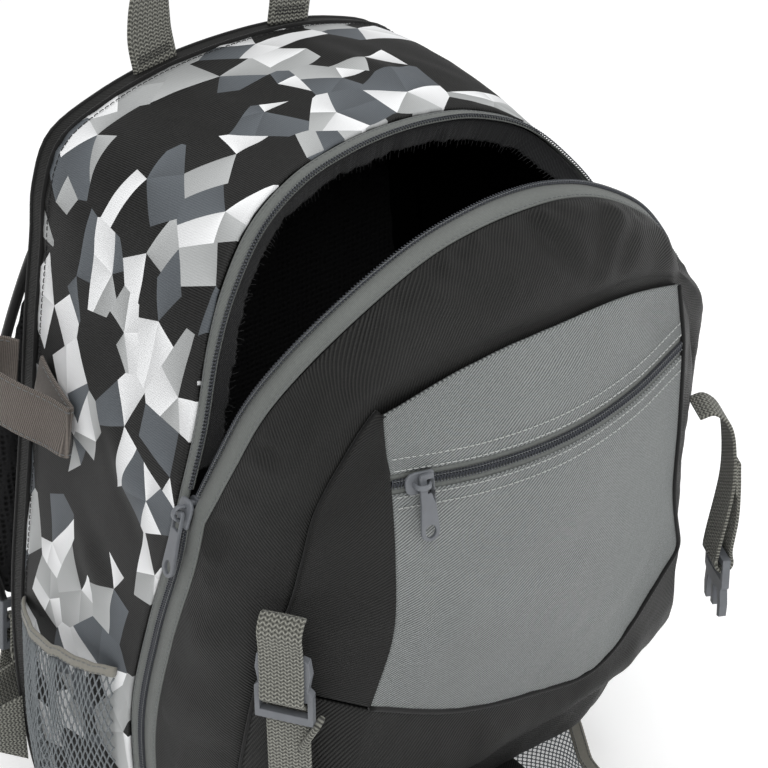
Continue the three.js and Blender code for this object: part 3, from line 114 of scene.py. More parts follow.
FLAP_LENGTH, FLAP_HALF, FLAP_TAPE = 186.0, 86.0, 8.0


# Curves and surfaces
def spline(points, t):
    """Points on a smooth curve through points (k, 3), or one curve for each t (n, k, 3)."""
    p = np.asarray(points, float)
    t = np.clip(np.atleast_1d(np.asarray(t, float)), 0, 1)
    if p.ndim == 2:
        p = np.broadcast_to(p, (len(t),) + p.shape)
    last = p.shape[1] - 1
    first = (2 * p[:, 0] - p[:, 1])[:, None]
    end = (2 * p[:, -1] - p[:, -2])[:, None]
    q = np.concatenate([first, p, end], axis=1)
    x = t * last
    i = np.minimum(x.astype(int), last - 1)
    w = (x - i)[:, None]
    n = np.arange(len(t))
    p0, p1, p2, p3 = q[n, i], q[n, i + 1], q[n, i + 2], q[n, i + 3]
    a, b = 0.5 * (p2 - p0), 0.5 * (p3 - p1)
    return ((2 * w**3 - 3 * w**2 + 1) * p1 + (w**3 - 2 * w**2 + w) * a
            + (3 * w**2 - 2 * w**3) * p2 + (w**3 - w**2) * b)


def place(x, reach, rise):
    return [x * HALF_WIDTH, BACK_REACH - reach * DEPTH, FLOOR_TOP + rise * (HEIGHT - FLOOR_TOP)]


def unit(v):
    return v / np.maximum(np.linalg.norm(v, axis=-1, keepdims=True), 1e-9)


def square_to(v, axis):
    """Directions v made square to the unit directions axis."""
    return unit(v - axis * np.sum(v * axis, axis=-1, keepdims=True))


def run_lengths(path):
    """The distance along a path to each of its points."""
    return np.concatenate([[0], np.cumsum(np.linalg.norm(np.diff(path, axis=0), axis=1))])


def spline_tangent(points, t):
    return unit(spline(points, np.minimum(t + 1e-4, 1)) - spline(points, np.maximum(t - 1e-4, 0)))


def point_at(point_of, low, high, length):
    """Where a curve is this far from its point at low, between the arrays low and high."""
    first = point_of(low)
    for _ in range(16):
        half = (low + high) / 2
        short = np.linalg.norm(point_of(half) - first, axis=1) < length
        low, high = np.where(short, half, low), np.where(short, high, half)
    return high


def on_grid(surface):
    """Lets a surface of two flat arrays take arrays of any shape."""
    def point(row, across):
        row, across = np.broadcast_arrays(np.asarray(row, float), np.asarray(across, float))
        return surface(row.ravel(), across.ravel()).reshape(row.shape + (3,))
    return point


def arch(rows, point_of):
    """A curve over the arch, row 0 at its left foot, from rows that describe its left half."""
    left = [point_of(i, r, -1) for i, r in enumerate(rows)]
    right = [point_of(i, r, 1) for i, r in list(enumerate(rows))[:-1][::-1]]
    points = np.array(left + right)
    return lambda row: spline(points, np.asarray(row) / (len(points) - 1))


LAST = 2 * (len(ARCH_ROWS) - 1)
TOP = LAST / 2


def on_side(side, row):
    """A row of the left side, or its mirror on the right."""
    return row if side < 0 else LAST - row


slump = lambda i, s: OPEN_ROWS[i - SLIDER_ROW][3] if s > 0 and i >= SLIDER_ROW else 0
back_seam = arch(ARCH_ROWS, lambda i, r, s: place(s * r[0], 0, r[1]))
rear_zip = arch(ARCH_ROWS, lambda i, r, s: place(s * r[2], r[3], r[4]))
open_zip = arch(OPEN_ROWS, lambda i, r, s: place(s * r[0], r[1], r[2] - (r[3] if s > 0 else 0)))
swell = arch(FRONT_ROWS, lambda i, r, s: place(s * r[0], r[1], r[2] - SWELL_SLUMP * slump(i, s)))
pocket_seam = arch(FRONT_ROWS, lambda i, r, s: place(s * r[3], r[4], r[5] - SEAM_SLUMP * slump(i, s)))
middle_line = arch(FRONT_ROWS, lambda i, r, s: place(0, r[6], r[7]))


def front_zip(row):
    """The front chain, which leaves the rear one where the fastener is open."""
    row = np.atleast_1d(np.asarray(row, float))
    opened = (row > SLIDER_ROW) & (row < LAST - SLIDER_ROW)
    return np.where(opened[:, None], open_zip(row - SLIDER_ROW), rear_zip(row))


def press(dents, along, across):
    """Depth in mm of soft dents: (row, share across, their half widths, share of the depth)."""
    total = np.zeros(np.broadcast(along, across).shape)
    for a, b, sa, sb, depth in dents:
        total += depth * DEPTH * np.exp(-((along - a) / sa) ** 2 - ((across - b) / sb) ** 2)
    return total


def outward(row):
    """Directions out of the arch, square to the back seam."""
    row = np.atleast_1d(np.asarray(row, float))
    d = back_seam(np.minimum(row + 0.05, LAST)) - back_seam(np.maximum(row - 0.05, 0))
    return unit(np.stack([-d[:, 2], np.zeros(len(d)), d[:, 0]], axis=1))


EDGE_SETBACK = CHAIN_WIDTH / 2 + REAR_TAPE + GAP
FRONT_SETBACK = CHAIN_WIDTH / 2 + FRONT_TAPE


def smoothstep(x, low, high):
    t = np.clip((x - low) / (high - low), 0, 1)
    return t * t * (3 - 2 * t)


@on_grid
def printed_point(r, a):
    """The printed side, from the back seam (0) to its zip (1)."""
    seam, zip_line = back_seam(r), rear_zip(r)
    reach = np.linalg.norm(zip_line - seam, axis=1)
    share = GAP / reach + a * (1 - (EDGE_SETBACK + GAP) / reach)
    free = smoothstep(np.minimum(r, LAST - r), 0, 1.5)
    swelling = free * (SIDE_BELLY * np.sin(np.pi * share) - press(PRINTED_DENTS, r, share))
    return seam + (zip_line - seam) * share[:, None] + outward(r) * swelling[:, None]


@on_grid
def front_point(r, a):
    """The front panel, from its zip (0) over the pocket's seam (0.5) to its middle (1)."""
    edge, seam, middle = front_zip(r), pocket_seam(r), middle_line(r)
    curves = np.stack([edge, swell(r), seam, seam + 0.3 * (middle - seam), middle], axis=1)
    p = spline(curves, a)
    p[:, 1] += press(FRONT_DENTS, r, a)
    return p


def front_normal(row, across):
    row = np.atleast_1d(np.asarray(row, float))
    across = np.broadcast_to(np.asarray(across, float), row.shape)
    along = front_point(row + 0.02, across) - front_point(row - 0.02, across)
    spoke = front_point(row, np.minimum(across + 0.02, 1)) - front_point(row, np.maximum(across - 0.02, 0))
    n = unit(np.cross(along, spoke))
    out = front_point(row, across) - np.array([0, BACK_REACH / 2, HEIGHT / 2])
    return np.where((np.sum(n * out, axis=1) < 0)[:, None], -n, n)


def across_at(row, length):
    """How far across the front panel a point is this far from the zip."""
    row = np.atleast_1d(np.asarray(row, float))
    return point_at(lambda a: front_point(row, a), np.zeros(len(row)), np.full(len(row), 0.5), length)


def tape_frames(rows, front):
    """Centres, width and normal directions along the main fastener."""
    rows = np.atleast_1d(np.asarray(rows, float))
    if front:
        edge = front_zip(rows)
        inward = front_point(rows, across_at(rows, FRONT_SETBACK)) - edge
        normal = front_normal(rows, 0.04)
    else:
        edge = rear_zip(rows)
        inward = back_seam(rows) - edge
        normal = outward(rows)
    width = unit(inward)
    return edge, width, square_to(normal, width)


ROW_LENGTH = float(np.linalg.norm(rear_zip(SLIDER_ROW) - rear_zip(SLIDER_ROW - 1)))
SLIDER_HALF = (SLIDER_LENGTH / 2 + GAP) / ROW_LENGTH
OPEN_START = SLIDER_ROW + SLIDER_HALF + 3 * GAP / ROW_LENGTH


# Front pocket
FACE_POINTS = []
for half_x, side_reach, mid_reach, rises in FACE_ROWS:
    row_points = []
    for k, rise in enumerate(rises):
        a = k / 2 - 1
        row_points.append(place(a * half_x, mid_reach + (side_reach - mid_reach) * abs(a) ** 1.8, rise))
    FACE_POINTS.append(row_points)
FACE_POINTS = np.array(FACE_POINTS)


@on_grid
def face_point(row, across):
    """The pocket's face, across from -1 to 1."""
    down = np.clip(row / (len(FACE_ROWS) - 1), 0, 1)
    columns = np.stack([spline(FACE_POINTS[:, k], down) for k in range(5)], axis=1)
    return spline(columns, (across + 1) / 2)


def face_row_at(start, end, across, length):
    """The face's row this far from the row start, on the way to the row end."""
    across = np.atleast_1d(np.asarray(across, float))
    ends = [np.full(len(across), float(row)) for row in (start, end)]
    return point_at(lambda row: face_point(row, across), *ends, length)


SEAT = GAP + POCKET_WALL
FACE_TOP_ARCH = 10
BAND_TOP, BAND_RIM, BAND_FOOT = 5, 3.8, 3.25


def pocket_foot(row, across=0.5):
    """Where the pocket's cloth stands on the front panel."""
    row = np.atleast_1d(np.asarray(row, float))
    across = np.broadcast_to(np.asarray(across, float), row.shape)
    return front_point(row, across) + front_normal(row, across) * SEAT


BAND_LIPS = np.array([place(*r[:3]) for r in BAND_ROWS])


@on_grid
def band_point(d, c):
    """The pocket's underside, down from the face's foot (0) to the front panel (1)."""
    side_share = 1 / 7
    front = np.clip((c - side_share) / (1 - 2 * side_share) * 2 - 1, -1, 1)
    last = len(BAND_ROWS) - 1
    pos = (front + 1) / 2 * last
    before = np.minimum(pos.astype(int), last - 1)
    feet = np.array([r[3] for r in BAND_ROWS])
    foot = feet[before] + (feet[before + 1] - feet[before]) * (pos - before)
    arch_row = np.where(front < 0, BAND_FOOT, LAST - BAND_FOOT)
    column = np.stack([face_point(len(FACE_ROWS) - 1, front), spline(BAND_LIPS, (front + 1) / 2),
                       pocket_foot(arch_row, foot)], axis=1)
    at_side = (c < side_share) | (c > 1 - side_share)
    inwards = np.minimum(c, 1 - c) / side_share
    for k, row in enumerate((BAND_TOP, BAND_RIM, BAND_FOOT)):
        rows = np.where(c < 0.5, row, LAST - row)
        edge = pocket_foot(rows)
        mixed = edge + (column[:, k] - edge) * inwards[:, None]
        column[:, k] = np.where(at_side[:, None], mixed, column[:, k])
    span = np.linalg.norm(column[:, 0] - column[:, 2], axis=1)
    setback = (GAP + POCKET_WALL / 2) / span
    return spline(column, setback + (1 - setback) * d)


def net_point(side, row, across, lift=0.0):
    """The side pocket's net, from the back seam (0) towards the zip (1)."""
    row, across = np.broadcast_arrays(np.asarray(row, float), np.asarray(across, float))
    arch_row = on_side(side, row)
    reach = np.interp(row, [r[0] for r in NET_ROWS], [r[1] for r in NET_ROWS])
    bow = DEPTH * reach * np.sin(np.pi * np.clip(across, 0, 1)) ** 0.8
    base = printed_point(arch_row, NET_BACK + across * (NET_FRONT - NET_BACK))
    out = outward(arch_row.ravel()).reshape(arch_row.shape + (3,))
    return base + out * (NET_WALL + 3 * GAP + bow + lift)[..., None]


# Noise and folds for cloth, the same on each run
def lattice_noise(u, v, seed):
    """Smooth noise from -1 to 1."""
    i, j = np.floor(u).astype(int), np.floor(v).astype(int)
    fu, fv = u - i, v - j
    fu, fv = fu * fu * (3 - 2 * fu), fv * fv * (3 - 2 * fv)

    def value(a, b):
        x = np.sin(a * 127.1 + b * 311.7 + seed * 74.7) * 43758.5453
        return 2 * (x - np.floor(x)) - 1

    low = value(i, j) * (1 - fu) + value(i + 1, j) * fu
    high = value(i, j + 1) * (1 - fu) + value(i + 1, j + 1) * fu
    return low * (1 - fv) + high * fv


def rumple(p, size, seed):
    """Crumpling of cloth at points p in mm, from about -1 to 1."""
    u = (p[..., 0] + 0.6 * p[..., 1]) / size
    v = (p[..., 2] + 0.3 * p[..., 1]) / size
    return lattice_noise(u, v, seed) + 0.5 * lattice_noise(2.1 * u + 5, 2.1 * v, seed + 1)


def folds(p, lines):
    """Folds along straight lines: (start, end, half width, depth), points in mm."""
    total = np.zeros(p.shape[:-1])
    for start, end, wide, deep in lines:
        a, b = np.array(start, float), np.array(end, float)
        d = b - a
        t = np.clip(np.sum((p - a) * d, axis=-1) / np.dot(d, d), 0, 1)
        away = np.linalg.norm(p - (a + t[..., None] * d), axis=-1)
        fade = np.sin(np.pi * np.clip(t, 0.03, 0.97)) ** 0.6
        x = away / wide
        total += deep * fade * (np.exp(-x * x) - 0.35 * np.exp(-((x - 1.5) ** 2) / 0.6))
    return total


def grid_normals(p, inside):
    du = np.gradient(p, axis=0)
    dv = np.gradient(p, axis=1)
    n = unit(np.cross(du, dv))
    facing = np.sum(n * (p - np.array(inside, float)), axis=-1)
    return -n if facing.mean() < 0 else n


# Meshes
def new_object(name, verts, faces, materials, uvs=None):
    mesh = bpy.data.meshes.new(name)
    mesh.from_pydata([tuple(v) for v in np.asarray(verts) * MM], [], faces)
    for m in materials:
        mesh.materials.append(m)
    if uvs is not None:
        layer = mesh.uv_layers.new(name="UVMap")
        loops = np.zeros(len(mesh.loops), int)
        mesh.loops.foreach_get("vertex_index", loops)
        layer.data.foreach_set("uv", np.asarray(uvs, float)[loops].ravel())
    mesh.shade_smooth()
    obj = bpy.data.objects.new(name, mesh)
    bpy.context.scene.collection.objects.link(obj)
    obj["ride"] = BODY
    return obj


SHARED_SLOTS = {"black_lining_painted_shade": "black_twill", "thread_dark": "black_twill", "piping": "black_twill",
                "thread_grey": "zip_tape", "thread_light": "zip_tape"}


def edit_mesh(mesh, merge=0.0, dissolve=False, outwards=False):
    """Joins points that meet, takes out edges on flat faces and turns faces outwards."""
    bm = bmesh.new()
    bm.from_mesh(mesh)
    if merge:
        bmesh.ops.remove_doubles(bm, verts=bm.verts, dist=merge)
    if dissolve:
        bmesh.ops.dissolve_limit(bm, angle_limit=math.radians(2), verts=bm.verts, edges=bm.edges)
    if outwards:
        bmesh.ops.recalc_face_normals(bm, faces=bm.faces)
    bm.to_mesh(mesh)
    bm.free()


def finish_piece(obj, replaced=()):
    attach(obj, obj["ride"])
    if replaced:
        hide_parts(*replaced)
    own = obj.data.materials[0].name.split(".")[0]
    SHARED_SLOTS.get(own, own)
    return obj


def arc_uv(p):
    """Lengths along and across a grid of points, in mm."""
    rows, cols = p.shape[:2]
    along = run_lengths(p[:, cols // 2])
    steps = np.linalg.norm(np.diff(p, axis=1), axis=2)
    over = np.concatenate([np.zeros((rows, 1)), np.cumsum(steps, axis=1)], axis=1)
    over -= over[:, cols // 2][:, None]
    return np.stack([np.broadcast_to(along[:, None], (rows, cols)), over], axis=-1)


def sheet(name, p, wall, inside, materials, merge=False):
    """A sheet of cloth with its wall behind the points p (rows, cols, 3)."""
    rows, cols = p.shape[:2]
    n = grid_normals(p, inside)
    if merge:
        n[:, -1] = unit(n[:, -1] + n[::-1, -1])
    uv = arc_uv(p)
    du, dv = np.gradient(p, axis=0), np.gradient(p, axis=1)
    flip = np.sum(np.cross(du, dv) * n) < 0
    faces = []
    for i in range(rows - 1):
        for j in range(cols - 1):
            k = i * cols + j
            f = (k, k + cols, k + cols + 1, k + 1)
            faces.append(f[::-1] if flip else f)
    obj = new_object(name, p.reshape(-1, 3), faces, materials, uv.reshape(-1, 2))
    if merge:
        edit_mesh(obj.data, merge=0.00002)
    wall_mod = obj.modifiers.new("wall", "SOLIDIFY")
    wall_mod.thickness = wall * MM
    wall_mod.offset = -1
    wall_mod.use_even_offset = False
    if len(materials) > 1:
        wall_mod.material_offset = 1
        wall_mod.material_offset_rim = 0
    return obj


def swept(name, centre, width, normal, section, materials, wide=None):
    """A band with a closed section (k, 2) carried along frames."""
    section = np.asarray(section, float)
    n, k = len(centre), len(section)
    scale = np.ones(n) if wide is None else np.asarray(wide)
    p = (centre[:, None] + width[:, None] * (section[None, :, 0] * scale[:, None])[..., None]
         + normal[:, None] * section[None, :, 1][..., None])
    along = run_lengths(centre)
    uv = np.stack([np.broadcast_to(along[:, None], (n, k)), section[None, :, 0] * scale[:, None]], axis=-1)
    faces = []
    for i in range(n - 1):
        for j in range(k):
            m = (j + 1) % k
            faces.append((i * k + j, i * k + m, (i + 1) * k + m, (i + 1) * k + j))
    faces.append(tuple(range(k))[::-1])
    faces.append(tuple((n - 1) * k + j for j in range(k)))
    obj = new_object(name, p.reshape(-1, 3), faces, materials, uv.reshape(-1, 2))
    edit_mesh(obj.data, outwards=True)
    return obj


def band_section(width, thickness):
    """A flat band's section with rounded edges."""
    r, steps = thickness / 2, 5
    half = width / 2 - r
    points = []
    for x in np.linspace(-half, half, 7):
        points.append((x, -r))
    for a in np.linspace(-math.pi / 2, math.pi / 2, steps)[1:-1]:
        points.append((half + r * math.cos(a), r * math.sin(a)))
    for x in np.linspace(half, -half, 7):
        points.append((x, r))
    for a in np.linspace(math.pi / 2, 3 * math.pi / 2, steps)[1:-1]:
        points.append((-half + r * math.cos(a), r * math.sin(a)))
    return points


def route_frames(points, steps, width_start, width_end=None, turned_by=1.0):
    """Frames for a band along a curve, which turns from one width direction to another."""
    points = np.asarray(points, float)
    t = np.linspace(0, 1, steps + 1)
    centre = spline(points, t)
    tangent = spline_tangent(points, t)
    start = np.asarray(width_start, float)
    end = start if width_end is None else np.asarray(width_end, float)
    share = np.minimum(t / turned_by, 1)[:, None]
    width = square_to(start + (end - start) * share, tangent)
    return centre, width, unit(np.cross(tangent, width)), tangent


def tube(paths, radius, sides):
    """Vertices and faces of thin tubes along several paths."""
    verts, faces, uvs, base = [], [], [], 0
    angles = np.arange(sides) * 2 * math.pi / sides
    for path in paths:
        path = np.asarray(path, float)
        n = len(path)
        tangent = unit(np.gradient(path, axis=0))
        helper = np.array([0.3, 0.9, 0.2]) if abs(tangent[0][1]) < 0.8 else np.array([1.0, 0.1, 0.2])
        a = unit(np.cross(tangent, helper))
        b = np.cross(tangent, a)
        r = np.broadcast_to(radius, (n,)) if np.ndim(radius) < 2 else radius
        ring = path[:, None] + (a[:, None] * np.cos(angles)[None, :, None]
                                + b[:, None] * np.sin(angles)[None, :, None]) * np.asarray(r)[:, None, None]
        verts.append(ring.reshape(-1, 3))
        along = run_lengths(path)
        uvs.append(np.stack([np.repeat(along, sides), np.tile(angles, n)], axis=1))
        for i in range(n - 1):
            for j in range(sides):
                m = (j + 1) % sides
                faces.append((base + i * sides + j, base + i * sides + m,
                              base + (i + 1) * sides + m, base + (i + 1) * sides + j))
        faces.append(tuple(base + j for j in range(sides))[::-1])
        faces.append(tuple(base + (n - 1) * sides + j for j in range(sides)))
        base += n * sides
    return np.concatenate(verts), faces, np.concatenate(uvs)


def tubes(name, paths, radius, material, sides):
    verts, faces, uvs = tube(paths, radius, sides)
    return new_object(name, verts, faces, [material], uvs)


def resample(path, spacing):
    path = np.asarray(path, float)
    along = run_lengths(path)
    count = max(int(along[-1] / spacing), 2)
    at = np.linspace(0, along[-1], count + 1)
    return np.stack([np.interp(at, along, path[:, k]) for k in range(3)], axis=1), at


def stitch_line(path, normal, length, pitch, radius=0.27):
    """Short raised threads along a path, each dipping in at its ends."""
    at, _ = resample(path, pitch)
    lift = np.asarray(normal, float)
    if lift.ndim == 1:
        lift = np.broadcast_to(lift, at.shape)
    else:
        positions = np.linspace(0, len(lift) - 1, len(at))
        lift = np.stack([np.interp(positions, np.arange(len(lift)), lift[:, k]) for k in range(3)], axis=1)
    tangent = unit(np.gradient(at, axis=0))
    out = []
    for c, t, n in zip(at[1:-1], tangent[1:-1], lift[1:-1]):
        half = t * length / 2
        out.append([c - half - n * radius * 0.8, c - half * 0.6 + n * radius * 0.5,
                    c + half * 0.6 + n * radius * 0.5, c + half - n * radius * 0.8])
    return out


def stitches(name, path, normal, length, pitch, radius, material):
    finish_piece(tubes(name, stitch_line(path, normal, length, pitch), radius, material, 4))


def soften(outline, times):
    """Rounds the corners of an outline, in place."""
    for _ in range(times):
        outline[1:-1] = (outline[:-2] + 2 * outline[1:-1] + outline[2:]) / 4


# Materials
class Graph:
    """A material and its node tree, with a short call for each kind of node."""

    def __init__(self, name):
        self.material = bpy.data.materials.new(name)
        self.material.use_nodes = True
        self.tree = self.material.node_tree
        self.shader = self.tree.nodes["Principled BSDF"]

    def node(self, kind, inputs, **settings):
        node = self.tree.nodes.new("ShaderNode" + kind)
        for key, value in settings.items():
            setattr(node, key, value)
        for key, value in inputs.items():
            self.feed(node.inputs[key], value)
        return node

    def feed(self, socket, value):
        if isinstance(value, bpy.types.NodeSocket):
            self.tree.links.new(value, socket)
        else:
            socket.default_value = value

    def surface(self, **values):
        for name, value in values.items():
            self.feed(self.shader.inputs[name.replace("_", " ")], value)

    def math(self, operation, *values):
        return self.node("Math", dict(enumerate(values)), operation=operation).outputs[0]

    def vector(self, operation, *values):
        return self.node("VectorMath", dict(enumerate(values)), operation=operation).outputs[0]

    def place(self, space):
        return self.node("TexCoord", {}).outputs[space]

    def along(self, vector, *direction):
        return self.node("VectorMath", {0: vector, 1: direction}, operation="DOT_PRODUCT").outputs["Value"]

    def noise(self, vector, scale, detail):
        inputs = {"Scale": scale, "Detail": detail, "Roughness": 0.55, "Vector": vector}
        return self.node("TexNoise", inputs).outputs["Fac"]

    def ramp(self, fac, stops, interpolation="LINEAR"):
        node = self.node("ValToRGB", {"Fac": fac})
        node.color_ramp.interpolation = interpolation
        elements = node.color_ramp.elements
        for k, (at, colour) in enumerate(stops):
            element = elements[k] if k < 2 else elements.new(at)
            element.position = at
            element.color = (*colour, 1)
        return node.outputs["Color"]

    def grey(self, value):
        return self.node("CombineColor", {0: value, 1: value, 2: value}).outputs[0]

    def blend(self, mode, a, b):
        return self.node("Mix", {0: 1.0, 6: a, 7: b}, data_type="RGBA", blend_type=mode).outputs[2]

    def bump(self, height, strength, distance):
        node = self.node("Bump", {"Strength": strength, "Distance": distance * MM, "Height": height})
        self.surface(Normal=node.outputs["Normal"])


def srgb(*colour):
    scaled = [c / 255 for c in colour]
    return tuple(c / 12.92 if c <= 0.04045 else ((c + 0.055) / 1.055) ** 2.4 for c in scaled)


CHEVRON = 1.45


def weave_height(g, uv, pitch, style):
    """Relief of a weave with the given thread pitch in mm."""
    k = 2 * math.pi / pitch
    if style == "herringbone":
        fold = g.math("PINGPONG", g.along(uv, 0, 1, 0), CHEVRON)
        a = g.math("SINE", g.math("MULTIPLY_ADD", fold, k * 0.75, g.along(uv, k, 0, 0)))
        b = g.math("COSINE", g.along(uv, 0, 2 * math.pi / CHEVRON, 0))
        return g.math("MULTIPLY_ADD", b, -0.45, a)
    main, cross, share = {"twill": ((0.8, 0.6), (1.9, -1.1), 0.3), "rib": ((1, 0), (0.5, 1.4), 0.5),
                          "plain": ((1, 0), (0, 1), None)}[style]
    a, b = (g.math("SINE", g.along(uv, k * x, k * y, 0)) for x, y in (main, cross))
    return g.math("MULTIPLY", a, b) if share is None else g.math("MULTIPLY_ADD", b, share, a)


def cloth(name, dark, light, pitch, style="twill", rough=0.75, strength=0.5, deep=0.25,
          sheen=0.15, blotch=0.25, lift=0.5, gloss=0.25):
    """A woven cloth: dark and light are its sRGB colours in the valleys and on the threads."""
    g = Graph(name)
    height = weave_height(g, g.place("UV"), pitch, style)
    place_node = g.place("Object")
    patches, fuzz = g.noise(place_node, 28, 4), g.noise(place_node, 900, 2)
    tone = g.math("MULTIPLY_ADD", height, 0.33, lift)
    tone = g.math("MULTIPLY_ADD", g.math("SUBTRACT", patches, 0.5), blotch, tone)
    tone = g.math("MULTIPLY_ADD", g.math("SUBTRACT", fuzz, 0.5), 0.35, tone)
    g.surface(Base_Color=g.ramp(tone, [(0.12, srgb(*dark)), (0.9, srgb(*light))]), Roughness=rough,
              Specular_IOR_Level=gloss, Sheen_Weight=sheen, Sheen_Roughness=0.5)
    g.bump(g.math("MULTIPLY_ADD", fuzz, 0.8, height), strength, deep)
    return g.material


PRINT_SCALE, PRINT_WEDGES, BLACK_CELLS = (1 / 36, 1 / 28, 0), 5.0, 0.84
PRINT_SHADES = [(0.0, srgb(20, 20, 19)), (0.36, srgb(92, 97, 102)), (0.56, srgb(178, 180, 180)),
                (0.74, srgb(240, 241, 242))]


def print_cloth(name):
    """A generic shard print in black, two greys and white over a fine cross rib."""
    g = Graph(name)
    uv = g.place("UV")
    spot = g.node("Mapping", {"Scale": PRINT_SCALE, "Rotation": (0, 0, 0.6), "Location": (3.3, 7.1, 0),
                              "Vector": uv}).outputs[0]
    cell = g.node("TexVoronoi", {"Scale": 1.0, "Randomness": 1.0, "Vector": spot}, voronoi_dimensions="2D")
    own = g.node("SeparateColor", {0: cell.outputs["Color"]}).outputs
    local = g.vector("SUBTRACT", spot, cell.outputs["Position"])
    shifted = g.vector("MULTIPLY_ADD", cell.outputs["Color"], (0.5, 0.5, 0), local)
    x, y, _ = g.node("SeparateXYZ", {0: shifted}).outputs
    angle = g.math("ARCTAN2", g.math("SUBTRACT", y, 0.25), g.math("SUBTRACT", x, 0.25))
    turned = g.math("MULTIPLY_ADD", own[2], 9.0, g.math("MULTIPLY", angle, PRINT_WEDGES / (2 * math.pi)))
    wedge = g.math("FLOOR", turned)
    wedge_number = g.math("MODULO", g.math("ADD", wedge, 40.0), PRINT_WEDGES)
    code = g.node("CombineXYZ", {0: own[0], 1: own[1], 2: wedge_number}).outputs[0]
    white = g.node("TexWhiteNoise", {"Vector": code}, noise_dimensions="3D").outputs["Value"]
    pick = g.math("MULTIPLY", white, g.math("SUBTRACT", 1.0, g.math("GREATER_THAN", own[1], BLACK_CELLS)))
    shade = g.math("MULTIPLY_ADD", g.math("SUBTRACT", turned, wedge), -0.24, 1.02)
    toned = g.blend("MULTIPLY", g.ramp(pick, PRINT_SHADES, "CONSTANT"), g.grey(shade))
    rib = weave_height(g, uv, 1.05, "rib")
    fuzz = g.math("MULTIPLY", g.noise(g.place("Object"), 700, 2), 0.012)
    final = g.blend("ADD", toned, g.grey(g.math("MULTIPLY_ADD", rib, 0.011, fuzz)))
    g.surface(Base_Color=final, Roughness=0.6, Specular_IOR_Level=0.25)
    g.bump(rib, 0.35, 0.15)
    return g.material


def air_mesh(name):
    """Black spacer mesh with small round holes."""
    g = Graph(name)
    place_mm = g.node("VectorMath", {0: g.place("Object"), "Scale": 1000}, operation="SCALE").outputs[0]
    distance = g.node("TexVoronoi",
                      {"Scale": 1 / 3.0, "Randomness": 0.12, "Vector": place_mm}).outputs["Distance"]
    height = g.math("MINIMUM", g.math("MULTIPLY", g.math("SUBTRACT", distance, 0.28), 4.0), 1.0)
    g.surface(Base_Color=g.ramp(distance, [(0.22, srgb(6, 6, 6)), (0.42, srgb(34, 34, 35))]), Roughness=0.8,
              Specular_IOR_Level=0.2)
    g.bump(height, 0.8, 0.7)
    return g.material


def plastic(name, colour, rough=0.42):
    """Moulded plastic with a faint grain and uneven gloss."""
    g = Graph(name)
    place_node = g.place("Object")
    grain, worn = g.noise(place_node, 2500, 2), g.noise(place_node, 120, 3)
    tone = g.math("MULTIPLY_ADD", g.math("SUBTRACT", worn, 0.5), 0.5, 0.5)
    dark, light = ([c * share for c in colour] for share in (0.8, 1.12))
    g.surface(Base_Color=g.ramp(tone, [(0.2, srgb(*dark)), (0.85, srgb(*light))]),
              Roughness=g.math("MULTIPLY_ADD", worn, 0.25, rough - 0.12))
    g.bump(grain, 0.25, 0.06)
    return g.material


PRINT = print_cloth("printed_cloth")
BLACK = cloth("black_twill", (5, 5, 5), (42, 42, 40), 1.15, strength=0.6, deep=0.3, sheen=0.02, rough=0.52,
              gloss=0.26, lift=0.38, blotch=0.15)
# Black lining for the inside faces of the cloth: real black cloth, painted near-black and darker than the
# black twill as painted shade for the inside of the bag
LINING_PAINTED_SHADE = cloth("black_lining_painted_shade", (2, 2, 2), (9, 9, 9), 0.6, style="plain", strength=0.1, sheen=0.0, rough=0.95,
               gloss=0.05)
GREY = cloth("grey_twill", (84, 87, 87), (164, 168, 167), 1.3, strength=0.75, deep=0.35, sheen=0.02,
             blotch=0.12,
             rough=0.6, gloss=0.35)
AIR_MESH = air_mesh("padded_mesh")
TAPE_CLOTH = cloth("zip_tape", (82, 85, 83), (124, 127, 124), 0.55, style="rib", strength=0.3, deep=0.12,
                   sheen=0.1)
COIL = plastic("zip_coil", (58, 61, 68), 0.36)
FACING = cloth("facing_cloth", (14, 14, 15), (44, 45, 47), 0.9, style="plain", strength=0.6, deep=0.3,
               gloss=0.1)
WEBBING = cloth("webbing", (66, 66, 61), (166, 166, 156), 1.9, style="herringbone", strength=0.9, deep=0.5,
                lift=0.5,
                blotch=0.15)
TAUPE = cloth("loop_band", (66, 60, 56), (128, 120, 113), 0.9, style="rib", strength=0.6, deep=0.25)
NET = cloth("net", (84, 89, 92), (146, 152, 155), 0.5, style="rib", strength=0.4, deep=0.1, sheen=0.15)
BINDING = cloth("binding", (112, 110, 102), (152, 149, 140), 0.7, style="plain", strength=0.3, deep=0.12)
PLASTIC = plastic("grey_plastic", (108, 111, 116))
THREAD_DARK = cloth("thread_dark", (14, 14, 15), (44, 44, 46), 0.4, style="rib", strength=0.3, deep=0.05)
THREAD_GREY = cloth("thread_grey", (88, 91, 92), (136, 139, 140), 0.4, style="rib", strength=0.3, deep=0.05)
THREAD_LIGHT = cloth("thread_light", (160, 163, 162), (206, 208, 206), 0.4, style="rib", strength=0.3,
                     deep=0.05)
PIPING = cloth("piping", (6, 6, 6), (30, 30, 30), 0.7, style="plain", strength=0.4, deep=0.15, gloss=0.15)


# Finishing of meshes
def bake(obj):
    """Applies an object's modifiers."""
    bpy.context.view_layer.update()
    graph = bpy.context.evaluated_depsgraph_get()
    mesh = bpy.data.meshes.new_from_object(obj.evaluated_get(graph))
    obj.modifiers.clear()
    obj.data = mesh


def coords(obj):
    flat = np.zeros(len(obj.data.vertices) * 3)
    obj.data.vertices.foreach_get("co", flat)
    return flat.reshape(-1, 3)


def set_coords(obj, p):
    obj.data.vertices.foreach_set("co", np.asarray(p).ravel())
    obj.data.update()


CLOTH_FRAMES, CLOTH_PRESSURE = 20, 4.0


